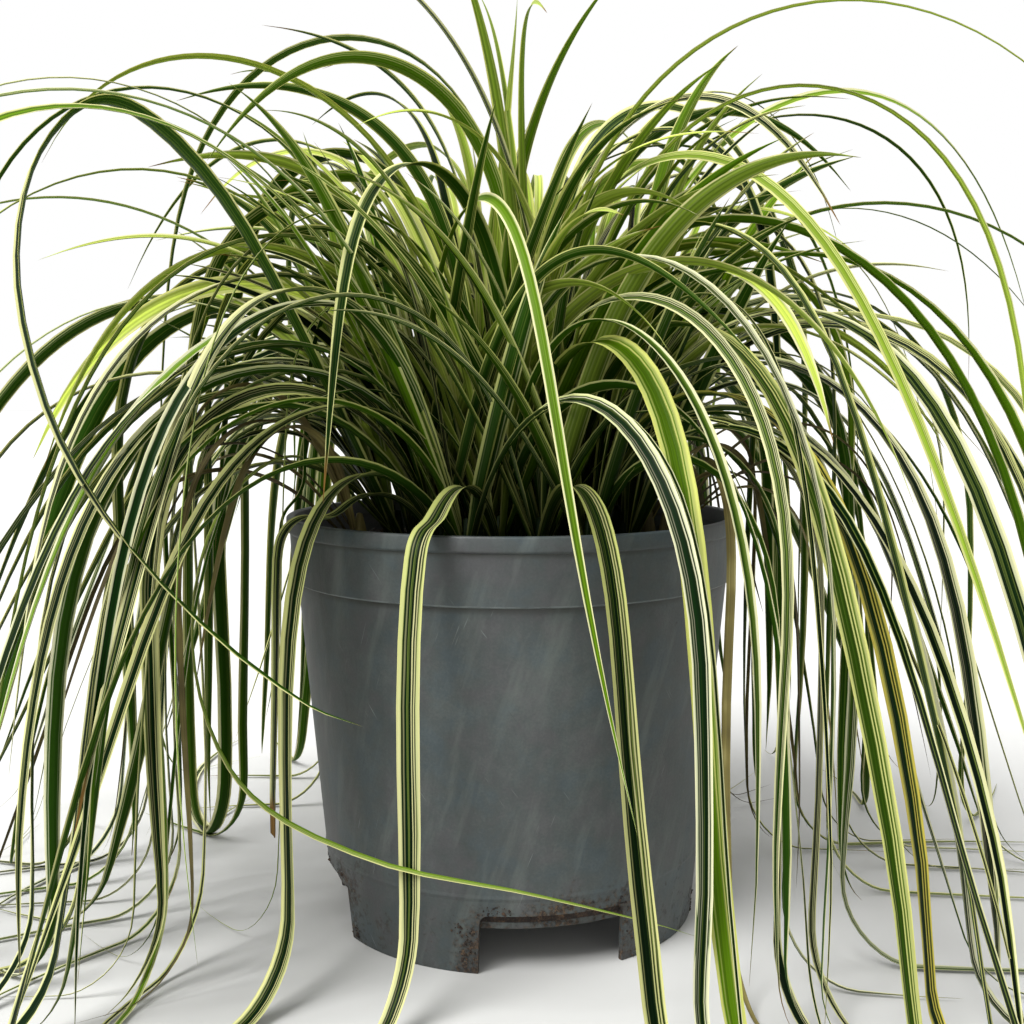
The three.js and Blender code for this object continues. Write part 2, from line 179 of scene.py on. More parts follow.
# Broad front leaves: root x, y | heading, rise | length, bend at, over, hang | sweep, roll, twist | width
# and their look: tone from dark green to lime, left and right margin, cream from white to yellow
frontLeaves = [
    (-22, -38, -128, 30, 400, 52, 20, 178, 0.2, 0.1, 0.3, 9.0, 0.12, 0.42, 0.30, 0.45),
    (-8, -42, -112, 31, 330, 44, 17, 177, -0.15, -0.1, 0.2, 8.6, 0.10, 0.36, 0.30, 0.40),
    (-38, 0, -66, 10, 400, 150, 22, 157, 0.1, 0.4, 0.8, 4.6, 0.60, 0.30, 0.34, 0.30),
    (-36, -28, -141, 36, 196, 40, 14, 180, 0.1, 0.1, 0.2, 7.6, 0.12, 0.36, 0.30, 0.40, cutEnd),
    (12, -44, -74, 33, 430, 48, 26, 170, 0.35, -0.1, -0.3, 9.2, 0.10, 0.40, 0.18, 0.50),
    (0, -12, -66, 14, 500, 108, 34, 171, 0.12, 0.15, 0.3, 9.4, 0.55, 0.36, 0.34, 0.75),
    (16, -18, -58, 15, 520, 118, 40, 169, 0.1, -0.1, 0.4, 9.0, 0.42, 0.34, 0.30, 0.65),
    (22, -30, -49, 18, 480, 88, 38, 172, 0.05, 0.1, -0.2, 9.4, 0.30, 0.52, 0.22, 0.98),
    (30, -14, -43, 16, 540, 128, 46, 168, -0.1, 0.2, 0.2, 8.6, 0.12, 0.32, 0.36, 0.20),
    (34, -34, -35, 22, 470, 84, 36, 171, 0.1, -0.15, 0.3, 8.8, 0.08, 0.30, 0.42, 0.10),
    (38, -8, -27, 17, 520, 126, 48, 170, -0.15, 0.1, 0.3, 8.2, 0.15, 0.30, 0.26, 0.55),
    (8, -2, -52, 9, 560, 156, 44, 168, 0.15, 0.1, -0.4, 7.8, 0.35, 0.32, 0.30, 0.60),
    (-30, -14, -168, 25, 560, 96, 42, 166, 0.55, 0.15, 0.6, 8.4, 0.20, 0.26, 0.30, 0.50),
    (-34, 8, 176, 27, 520, 84, 44, 172, -0.25, -0.1, 0.5, 8.0, 0.15, 0.24, 0.22, 0.40),
    (-28, -28, -146, 26, 500, 92, 36, 173, 0.2, 0.1, 0.4, 8.6, 0.18, 0.30, 0.36, 0.35),
    (-40, -20, -156, 32, 430, 58, 30, 170, -0.15, 0.1, -0.3, 8.2, 0.30, 0.36, 0.30, 0.55),
    (30, 12, -12, 22, 640, 165, 72, 200, -0.5, 0.1, 0.8, 5.0, 0.20, 0.26, 0.30, 0.55),
    (24, 20, 12, 20, 600, 178, 64, 196, 0.5, -0.2, 0.6, 5.4, 0.18, 0.28, 0.24, 0.45),
    (6, 6, 100, 3, 285, 240, 60, 90, 0.2, 0.3, 0.4, 4.4, 0.75, 0.22, 0.22, 0.70),
    (-14, 14, 150, 9, 300, 220, 60, 110, -0.6, 0.2, 0.6, 4.2, 0.60, 0.24, 0.20, 0.65),
    (-6, 10, 165, 7, 380, 186, 26, 176, 0.5, 0.2, 0.6, 7.8, 0.20, 0.30, 0.36, 0.45),
    (4, 14, 30, 8, 460, 192, 34, 180, -0.4, -0.2, 0.4, 7.4, 0.10, 0.30, 0.26, 0.35),
    (-4, 22, 110, 5, 300, 200, 40, 140, 0.9, 0.3, 0.5, 6.6, 0.90, 0.30, 0.22, 0.70),
    (10, 4, -20, 10, 430, 164, 30, 182, 0.3, 0.2, -0.4, 8.0, 0.15, 0.24, 0.40, 0.40),
    (-14, 4, 200, 12, 420, 156, 28, 184, -0.4, 0.1, 0.5, 8.2, 0.35, 0.40, 0.28, 0.60),
]


def around(radius, turn):
    return radius * math.cos(turn), radius * math.sin(turn)


def clamp(value, low, high):
    return max(low, min(high, value))


livePlaces = [around(clump["radius"] * math.sqrt((i + 0.5) / clump["shoots"]),
                     i * math.radians(clump["turn"])) for i in range(clump["shoots"])]
places = livePlaces + [around(radius, math.radians(turn)) for turn, radius in dry["places"]]


def nearestShoot(place):
    return min(range(clump["shoots"]), key=lambda i: math.dist(livePlaces[i], place))


def innerOf(shoot):
    # 1 at the clump's middle, 0 at its edge
    return 1 - math.hypot(*places[shoot]) / clump["radius"]


def parted(heading):
    # leaves part round the open side, where the pot shows
    off = heading - math.radians(form["partAt"])
    off = math.atan2(math.sin(off), math.cos(off))
    push = math.radians(form["partPush"]) * math.exp(-((off / math.radians(form["partWide"])) ** 2))
    return heading + math.copysign(push, off)


def rootAt(shoot, heading, up):
    outX, outY = around(form["rootOut"], heading)
    x, y = places[shoot]
    return {"shoot": shoot, "heading": heading, "x": x + outX, "y": y + outY, "z": clump["soilTop"] + up}


def greenLeaf(draw, shoot, j):
    x, y = places[shoot]
    age = ((j * 5) % clump["leaves"]) / clump["leaves"]
    wild = 0.6 if j < clump["tidyLeaves"] else 1
    strayX, strayY = around(form["spread"] * wild * math.sqrt(draw()), draw(0, 2 * math.pi))
    outX, outY = x / clump["radius"] + strayX, y / clump["radius"] + strayY
    upright = draw() < form["upright"]
    inner = innerOf(shoot)
    leaf = {
        **rootAt(shoot, parted(math.atan2(outY, outX)), draw(2, 9)),
        "rise": math.radians(2 + draw(8, 33) * math.hypot(outX, outY) * (0.55 + 0.45 * age)),
        "length": 300 + draw(0, 190) + 60 * age,
        "bendAt": draw(45, 120) + 75 * inner, "bendOver": draw(20, 55), "hang": math.radians(draw(152, 200)),
        "sweep": (0.5 + wild) * draw(-1.1, 1.1), "roll": draw(-0.55, 0.55), "twist": draw(-1.3, 1.3),
        "width": 3.6 + 4.8 * draw(),
        "youth": clamp(0.4 * inner + 0.35 * (1 - age) + (0.3 if upright else 0), 0, 1),
    }
    if upright:
        leaf["bendAt"] += 110
        leaf["bendOver"] += 30
        leaf["width"] *= 0.55
        leaf["length"] *= 1.05
        leaf["rise"] *= 0.6
    return leaf


def youngLeaf(draw, shoot):
    # the youngest leaves stand in the clump's heart, longest and most every way at its middle
    x, y = places[shoot]
    inner = innerOf(shoot)
    heading = parted(math.atan2(y, x) + draw(-1, 1) * (0.9 + 2.1 * inner))
    return {
        **rootAt(shoot, heading, draw(2, 9)),
        "rise": math.radians(draw(2, 16) + 20 * (1 - inner) * draw()),
        "length": draw(*young["lengths"]) + young["innerLength"] * inner * draw(),
        "bendAt": draw(120, 220), "bendOver": draw(25, 60), "hang": math.radians(draw(110, 170)),
        "sweep": draw(-1.6, 1.6), "roll": draw(-0.7, 0.7), "twist": draw(-1.6, 1.6),
        "width": draw(4.6, 9.0), "youth": 0.6 + 0.5 * inner,
    }


def frontLeaf(row):
    x, y, heading, rise, length, bendAt, bendOver, hang, sweep, roll, twist, width, *look = row
    return {
        **rootAt(nearestShoot((x, y)), math.radians(heading), 5), "rise": math.radians(rise),
        "length": length, "bendAt": bendAt, "bendOver": bendOver, "hang": math.radians(hang),
        "sweep": sweep, "roll": roll, "twist": twist, "width": width, "look": look[:4],
        **(look[4] if len(look) > 4 else {}),
    }


def dryLeaf(draw, shoot):
    x, y = places[shoot]
    return {
        **rootAt(shoot, math.atan2(y, x) + draw(-0.9, 0.9), draw(2, 9)),
        "rise": math.radians(draw(14, 44)), "length": dry["length"] * draw(0.5, 1.15),
        "bendAt": draw(34, 85), "bendOver": draw(10, 26), "hang": math.radians(draw(150, 190)),
        "sweep": draw(-0.9, 0.9), "roll": draw(-0.5, 0.5), "twist": draw(-1.2, 1.2),
        "width": dry["width"] * draw(0.7, 1.5),
    }


def landing(height, radius):
    # the steepest lean that still comes down softly on what lies below
    if height <= 0:
        return math.radians(88)
    return math.pi / 2 + math.acos(1 - min(height / radius, 1))


def mostLean(x, y, z):
    # a leaf clears the rim, and lies down on rim or floor
    radius = math.hypot(x, y)
    above = z - pot["height"] - form["overRim"]
    onFloor = landing(z - form["floor"], form["landing"])
    if radius > pot["rimRadius"] + 4 * form["overRim"]:
        return onFloor
    if radius > pot["rimRadius"] + form["overRim"]:
        return min(math.radians(177), onFloor)
    return landing(above, form["landing"] / 2) if above > 0 else math.radians(50)


def grown(leaf):
    # adds the leaf's path: rows of x, y, z, lean, heading, roll, length so far
    step = form["step"]
    mostBend = step / form["tightBend"]

    def sag(s):
        return 1 / (1 + math.exp(-(s - leaf["bendAt"]) / leaf["bendOver"]))
    x, y, z, lean, s = leaf["x"], leaf["y"], leaf["z"], leaf["rise"], 0
    path = []
    while True:
        bend = (sag(s) - sag(0)) / (1 - sag(0))
        aim = min(leaf["rise"] + (leaf["hang"] - leaf["rise"]) * bend, mostLean(x, y, z))
        lean += clamp(aim - lean, -mostBend, mostBend)
        along = s / form["sweepLength"]
        heading = leaf["heading"] + leaf["sweep"] * along * along
        clearOfFloor = clamp((z - 4) / form["untwist"], 0, 1)
        path.append((x, y, z, lean, heading, (leaf["roll"] + leaf["twist"] * along) * clearOfFloor, s))
        moveX, moveY = around(step * math.sin(lean), heading)
        x += moveX
        y += moveY
        z = max(z + step * math.cos(lean), form["floor"])
        if s >= leaf["length"] or max(abs(x), abs(y)) > form["reach"]:
            return {**leaf, "path": np.array(path)}
        s += step


# ---- blades and sheaths as meshes ----
blade = {"rings": 42, "round": 6, "fold": 0.24, "thick": 0.42, "tip": 0.04, "taper": 2.5, "end": 2.0,
         "ripple": 0.12, "meander": 2.2}
# across from -1 to 1 over the top and back underneath, lift of the fold, share of the thickness
bladeAcross = np.array([-1, -0.5, 0, 0.5, 1, 0.5, 0, -0.5])
bladeLift = np.abs(bladeAcross) ** 1.2 - 0.5
bladeThick = np.array([0, 0, 0, 0, 0, 0.75, 1, 0.75])
bladeUnder = [0, 0, 0, 0, 1, 1, 1, 1]


def loft(rings, under, across):
    # Faces between rings of points, closed by a point at each end, with the place of each face corner
    # across the blade, round the section and along, and whether each face is an underside.
    sides = len(under)
    root, tip = rings * sides, rings * sides + 1
    faces, corners = [], []
    for i in range(-1, rings):
        for k in range(sides):
            n = (k + 1) % sides
            here, after = (across[k], k / sides), (across[k + 1], (k + 1) / sides)
            middle = ((here[0] + after[0]) / 2, (here[1] + after[1]) / 2)
            if i < 0:
                faces.append((k, n, root))
                corners += [(*here, 1), (*after, 1), (*middle, 0)]
            elif i < rings - 1:
                faces.append((i * sides + k, (i + 1) * sides + k, (i + 1) * sides + n, i * sides + n))
                corners += [(*here, i + 1), (*here, i + 2), (*after, i + 2), (*after, i + 1)]
            else:
                faces.append((i * sides + k, tip, i * sides + n))
                corners += [(*here, i + 1), (*middle, i + 2), (*after, i + 1)]
    return faces, np.array(corners), np.tile(under, rings + 1)


def roundLoft(rings, sides):
    return loft(rings, np.zeros(sides), np.arange(sides + 1) / sides)


def unit(rows):
    return rows / np.linalg.norm(rows, axis=1, keepdims=True)


def smoothed(values, reach):
    weights = np.hanning(2 * reach + 3)[1:-1]
    padded = np.pad(values, reach, mode="reflect", reflect_type="odd")
    return np.convolve(padded, weights / weights.sum(), mode="valid")


def bladePoints(leaf):
    # The points, their place on the blade for its patterns (across, along, a number of its own), and
    # how far along each ring is. The middle line is rounded, and its rings are closest where it turns.
    path, shape = leaf["path"], {**blade, **leaf}
    steps = path[:, 6]
    fine = np.arange(0, steps[-1] + 0.5)
    lines = np.array([smoothed(np.interp(fine, steps, path[:, i]), blade["round"]) for i in range(6)]).T
    wander = blade["meander"] * np.clip(fine / 150, 0, 1) * np.clip((lines[:, 2] - 12) / 60, 0, 1)
    for axis, phase, wave in ((0, 60, 61), (1, 90, 53)):
        lines[:, axis] += wander * np.sin(leaf["seed"] * phase + fine / wave)
    along = unit(np.gradient(lines[:, :3], axis=0))
    effort = np.linalg.norm(np.diff(along, axis=0), axis=1) + 0.006
    effort = np.concatenate([[0], np.cumsum(effort)])
    s = np.interp(np.linspace(0, effort[-1], blade["rings"]), effort, fine)

    def atRings(columns):
        return np.array([np.interp(s, fine, column) for column in columns.T]).T
    middle, along = atRings(lines[:, :3]), unit(atRings(along))
    heading, roll = atRings(lines[:, 4:]).T
    t = s / s[-1]
    clear = np.clip((middle[:, 2] - 4) / 40, 0, 1)
    roll = roll + blade["ripple"] * np.sin(leaf["seed"] * 40 + s / 37) * clear
    across = np.stack([-np.sin(heading), np.cos(heading), 0 * heading], 1)
    across = unit(across - along * np.sum(across * along, axis=1, keepdims=True))
    up = np.cross(along, across)
    turnC, turnS = np.cos(roll)[:, None], np.sin(roll)[:, None]
    across, up = across * turnC + up * turnS, up * turnC - across * turnS
    # 0.45 of its width at its root, full width from a fifth of its length, and narrower after 0.42
    base = 0.45 + 0.55 * np.minimum(1, t / 0.2)
    tip = 1 - np.maximum(0, (t - 0.42) / 0.58) ** shape["taper"]
    half = leaf["width"] / 2 * base * np.maximum(tip, shape["tip"])
    fold = half * blade["fold"] * (1 + 0.8 * np.maximum(0, 1 - t / 0.25))
    thick = blade["thick"] * np.minimum(1, half / 1.6)
    points = (middle[:, None] + across[:, None] * (half[:, None] * bladeAcross)[..., None]
              + up[:, None] * (fold[:, None] * bladeLift - thick[:, None] * bladeThick)[..., None])
    place = np.zeros((blade["rings"], len(bladeUnder), 3))
    place[..., 0] = half[:, None] * bladeAcross
    place[..., 1] = s[:, None]
    ends = [middle[0] - along[0], middle[-1] + along[-1] * shape["end"]]
    place = np.concatenate([place.reshape(-1, 3), [(0, 0, 0), (0, s[-1], 0)]])
    place[:, 2] = leaf["seed"] * 1000
    return np.concatenate([points.reshape(-1, 3), ends]), place, np.concatenate([[-0.004], t, [1.004]])


def sheathPoints(shoot):
    # the same for a sheath: a ridged, tapered stub from under the soil to the leaves' roots
    x, y = places[shoot]
    seed = 0.31 + shoot / 50
    top, bottom = clump["sheathTop"], -clump["sheathDepth"]
    levels = [(bottom, 1.0), (-1, 0.96), (top / 3, 0.82), (0.65 * top, 0.6), (top, 0.3)]
    turns = np.arange(clump["sheathSides"]) * 2 * math.pi / clump["sheathSides"]
    ridges = 1 + 0.12 * np.cos(3 * turns + seed * 20) + 0.05 * np.cos(7 * turns + seed * 50)
    points, place = [], []
    for up, share in levels:
        for radius, a in zip(clump["sheathRadius"] * share * ridges, turns):
            points.append((x + radius * math.cos(-a), y + radius * math.sin(-a), clump["soilTop"] + up))
            place.append((clump["sheathRadius"] * a, up, seed * 1000))
    points += [(x, y, clump["soilTop"] + bottom), (x, y, clump["soilTop"] + top + 0.5)]
    place += [(0, 0, seed * 1000), (0, top, seed * 1000)]
    return np.array(points), np.array(place), np.concatenate([[-0.004], np.linspace(0, 0.05, 5), [0.06]])


bladeLoft = loft(blade["rings"], bladeUnder, (np.append(bladeAcross, -1) + 1) / 2)
sheathLoft = roundLoft(5, clump["sheathSides"])
sheathTraits = (0.2, 0.0, 0.0, 0.5, 0.0, 0.0)


def makeShoot(kind, number, leaves, material, slot, node):
    # One piece for a shoot: its sheath and its leaves, each a strip of the bake map.
    shoot = number - 1 + (clump["shoots"] if slot == "dry_leaf" else 0)
    strips = [(sheathPoints(shoot), sheathLoft, 2 * math.pi * clump["sheathRadius"], sheathTraits)]
    strips += [(bladePoints(leaf), bladeLoft, 2 * leaf["width"], leaf["traits"])
               for leaf in leaves if leaf["shoot"] == shoot]
    gap = 1.06
    total = sum(span for _, _, span, _ in strips) * gap
    points, faces, data = [], [], []
    start, used = 0, 0.0
    for (vertices, place, rows), (partFaces, corners, under), span, look in strips:
        faces += [tuple(start + v for v in face) for face in partFaces]
        points.append(vertices)
        along = rows[corners[:, 2].astype(int)]
        bakeAcross = (used + corners[:, 1] * span) / total
        bakeAlong = 0.01 + 0.98 * (along - rows[0]) / (rows[-1] - rows[0])
        same = np.tile(look, (len(vertices), 1))
        data.append((place, same[:, :3], same[:, 3:], under, np.stack([corners[:, 0], along], 1),
                     np.stack([bakeAcross, bakeAlong], 1)))
        start += len(vertices)
        used += span * gap
    mesh = newMesh(f"{kind}_{number:02d}", np.concatenate(points), faces)
    place, traits, finish, under, leafMap, bakeMap = [np.concatenate(part) for part in zip(*data)]
    for name, pairs in (("leafUV", leafMap), ("OFBake", bakeMap)):
        mesh.uv_layers.new(name=name).data.foreach_set("uv", pairs.astype(np.float32).ravel())
    addData(mesh, "leafPlace", place)
    addData(mesh, "leafTraits", traits)
    addData(mesh, "leafFinish", finish)
    addData(mesh, "underside", under, "FLOAT", "FACE", "value")
    creaseMargins(mesh)
    addPiece(mesh.name, mesh, material, f"{node}_{number:02d}")


def creaseMargins(mesh):
    # A blade's two edges stay sharp, so that its top and underside shade apart.
    sides, rings = len(bladeUnder), blade["rings"]
    ends = np.empty(len(mesh.edges) * 2, dtype=np.int64)
    mesh.edges.foreach_get("vertices", ends)
    ends = ends.reshape(-1, 2) - (5 * clump["sheathSides"] + 2)
    inBlade = (ends[:, 0] >= 0) & (ends % (rings * sides + 2) < rings * sides).all(axis=1)
    corner = (ends % (rings * sides + 2)) % sides
    sharp = inBlade & (corner[:, 0] == corner[:, 1]) & np.isin(corner[:, 0], (0, 4))
    mesh.attributes.new("sharp_edge", "BOOLEAN", "EDGE").data.foreach_set("value", sharp)


# ---- the pot ----
moulding = {"rimRound": 0.8, "stepRound": 0.28, "bead": 0.35, "beadZ": 31, "beadTall": 1.3, "wobble": 0.35,
            "cornerRound": 3.5, "notchFlare": 1.2}
stepZ = pot["height"] - pot["collarHeight"]
collarTop = pot["rimRadius"] - pot["lipOut"]
collarFoot = collarTop - pot["collarTaper"]


def wallRadius(z):
    return pot["footRadius"] + (collarFoot - pot["collarOut"] - pot["footRadius"]) * z / stepZ


def rounded(points):
    # a profile of (radius, z, corner radius), with each corner turned into a short arc
    out = []
    for i, (r, z, size) in enumerate(points):
        if size == 0 or i in (0, len(points) - 1):
            out.append((r, z))
            continue
        here = Vector((r, z))
        before = Vector(points[i - 1][:2]) - here
        after = Vector(points[i + 1][:2]) - here
        size = min(size, before.length * 0.45, after.length * 0.45)
        first, last = here + before.normalized() * size, here + after.normalized() * size
        for t in (0, 1 / 3, 2 / 3, 1):
            out.append(tuple(first * (1 - t) ** 2 + here * (2 * t * (1 - t)) + last * t * t))
    return out


def ringOf(radius, z, sides):
    turns = -np.arange(sides) * 2 * math.pi / sides
    return [(radius * math.cos(a), radius * math.sin(a), z) for a in turns]


def turned(name, profile, sides):
    # A solid of revolution whose first and last points lie on the axis.
    points = [point for r, z in profile[1:-1] for point in ringOf(r, z, sides)]
    points += [(0, 0, profile[0][1]), (0, 0, profile[-1][1])]
    return newMesh(name, points, roundLoft(len(profile) - 2, sides)[0])


def cut(target, cutter):
    # takes one mesh out of another and returns the new mesh
    holder = bpy.data.objects.new("cutTarget", target)
    tool = bpy.data.objects.new("cutTool", cutter)
    for item in (holder, tool):
        bpy.context.scene.collection.objects.link(item)
    modifier = holder.modifiers.new("cut", "BOOLEAN")
    modifier.operation = "DIFFERENCE"
    modifier.solver = "EXACT"
    modifier.object = tool
    made = bpy.data.meshes.new_from_object(holder.evaluated_get(bpy.context.evaluated_depsgraph_get()))
    for item in (holder, tool):
        bpy.data.objects.remove(item)
    return made


def notchMesh():
    # the drain notches, as rounded blocks that reach through the wall
    half = pot["footRadius"] * math.radians(pot["notchTurn"] / 2)
    size, top = moulding["cornerRound"], pot["notchHeight"]
    edge = [(half + moulding["notchFlare"], -5), (half, top - size)]
    edge += [(half - size * (1 - math.cos(a)), top - size * (1 - math.sin(a))) for a in (0.4, 0.8, 1.2)]
    edge += [(half - size, top), (half * 0.66, top), (half * 0.33, top)]
    outline = edge + [(0, top)] + [(-x, z) for x, z in reversed(edge)]
    points, faces = [], []
    for i in range(pot["notches"]):
        middle = math.radians(pot["firstNotch"] + 360 / pot["notches"] * i)
        faces += [tuple(len(points) + v for v in face) for face in roundLoft(2, len(outline))[0]]
        for radius in (68.0, 100.0):
            points += [(*around(radius, middle + x / pot["footRadius"]), z) for x, z in outline]
        points += [(*around(radius, middle), 8) for radius in (66.0, 101.0)]
    return newMesh("notches", points, faces)


def makePot():
    height, wall, floorZ = pot["height"], pot["wall"], pot["floorZ"]
    floorTop = floorZ + pot["floorThick"]
    edge, step, bead = moulding["rimRound"], moulding["stepRound"], moulding["bead"]
    beadZ, beadTall = moulding["beadZ"], moulding["beadTall"]
    lipZ = height - pot["lipHeight"]
    profile = rounded([
        (0, floorZ, 0), (wallRadius(floorZ) - wall, floorZ, 0.4), (wallRadius(0) - wall, 0, 0.5),
        (wallRadius(0), 0, 0.5), (wallRadius(beadZ - beadTall), beadZ - beadTall, 0.3),
        (wallRadius(beadZ) + bead, beadZ, 0.4), (wallRadius(beadZ + beadTall), beadZ + beadTall, 0.3),
        (wallRadius(60), 60, 0), (wallRadius(100), 100, 0),
        (wallRadius(stepZ), stepZ, step), (collarFoot, stepZ + pot["edge"], step),
        (collarTop, lipZ, 0.5), (pot["rimRadius"], lipZ + 0.8, edge), (pot["rimRadius"], height, edge * 1.4),
        (collarTop - wall, height, edge), (collarFoot - wall, stepZ + wall, step),
        (wallRadius(stepZ) - wall, stepZ - 0.8, step), (wallRadius(floorTop) - wall, floorTop, 0.4),
        (0, floorTop, 0)])
    radius = wallRadius(floorZ) - wall - 0.6
    plate = [(0, floorZ - 0.01), (radius, floorZ - 0.01), (radius, floorTop + 0.01), (0, floorTop + 0.01)]
    cutter = cut(notchMesh(), turned("plate", plate, pot["sides"]))
    mesh = cut(turned("pot", profile, pot["sides"]), cutter)
    for vertex in mesh.vertices:  # a thin moulding is never quite round
        turn = math.atan2(vertex.co.y, vertex.co.x)
        oval = math.sin(2 * turn + 0.6) + 0.5 * math.sin(5 * turn + 1.9)
        swell = 1 + moulding["wobble"] / pot["rimRadius"] * vertex.co.z / (height * mm) * oval
        vertex.co.x *= swell
        vertex.co.y *= swell
    mesh.polygons.foreach_set("use_smooth", [True] * len(mesh.polygons))
    mesh.set_sharp_from_angle(angle=math.radians(32))
    addPiece("pot_moulding", mesh, makePotMaterial(), "pot")


# the plastic's colours and its marks; the pale mark at the collar's edge is a painted highlight, and the dark
# one at the step and the lip is painted shade
potColours = {"plastic": [(0.30, "#303637"), (0.5, "#3d4344"), (0.72, "#505655")],
              "tints": [(0.36, "#38474c"), (0.5, "#404643"), (0.64, "#4a4647")], "scuff": "#8d9494",
              "mark": "#666d68", "dark": "#2b3031", "paintedShade": "#2e302c", "paintedHighlight": "#7b8383",
              "soil": [(0.38, "#1b130d"), (0.5, "#33261b"), (0.66, "#594632")]}
# Patterns on the wall: noise scale in one over metres, detail, stretch along the three axes, and the
# lean of those that are laid on the unrolled wall.
potPatterns = {
    "flow": (260.0, 3.0, (1, 1, 0.05), None),  # flow lines about 4 mm apart
    "cloud": (20.0, 4.0, (1, 1, 0.7), None), "tint": (60.0, 4.0, (1, 1, 1), None),
    "blotch": (150.0, 3.0, (1, 1, 0.8), None),  # 7 mm
    "mottle": (1000.0, 3.0, (1, 1, 1), None),  # 1 mm
    "smears": (95.0, 4.0, (1, 0.14, 1), 0.3),
    "scratches": (1280.0, 1.0, (1, 0.043, 1), -0.62),  # 0.8 by 18 mm
    "scratched": (46.0, 2.0, (1, 1, 1), None),
    "scrapes": (1280.0, 1.0, (1, 0.043, 1), 0.38), "scraped": (30.0, 2.0, (1, 1, 1), None),
    "crumbs": (420.0, 6.0, (1, 1, 1), None), "patches": (70.0, 3.0, (1, 1, 1), None),
    "earth": (900.0, 4.0, (1, 1, 1), None),
    "grain": (1400.0, 2.0, (1, 1, 1), None),  # the mould's own texture, 0.7 mm
}
potMarks = [
    # colour, then each pattern that bounds the mark: from, to, and its share at each
    # wiped and dried water, which runs down the wall at a slant
    ("mark", [("smears", 0.53, 0.70, 0.0, 0.36)]),
    # thin scratches that lean, in patches: pale ones and a few dark ones
    ("scuff", [("scratches", 0.70, 0.78, 0.0, 0.8), ("scratched", 0.59, 0.70, 0.0, 0.7)]),
    ("dark", [("scratches", 0.28, 0.24, 0.0, 1.0), ("scratched", 0.42, 0.35, 0.0, 0.7)]),
    ("scuff", [("scrapes", 0.70, 0.78, 0.0, 0.8), ("scraped", 0.59, 0.70, 0.0, 0.7)]),
    ("dark", [("scrapes", 0.28, 0.24, 0.0, 1.0), ("scraped", 0.42, 0.35, 0.0, 0.7)]),
    # the collar's lower edge carries a painted highlight, and painted shade sits in the corner under it and
    # under the lip
    ("paintedHighlight", [("aboveStep", 0.0, 0.3, 0.0, 1.0), ("aboveStep", 1.2, 0.7, 0.0, 1.0),
              ("blotch", 0.35, 0.6, 0.3, 0.9)]),
    ("paintedShade", [("aboveStep", -2.6, -0.2, 0.0, 1.0), ("aboveStep", 0.2, 0.0, 0.0, 1.0),
               ("blotch", 0.3, 0.55, 0.5, 0.95)]),
    ("paintedShade", [("aboveStep", 18.2, 20.0, 0.0, 1.0), ("aboveStep", 20.5, 20.2, 0.0, 1.0),
               ("blotch", 0.3, 0.55, 0.4, 0.85)]),
]


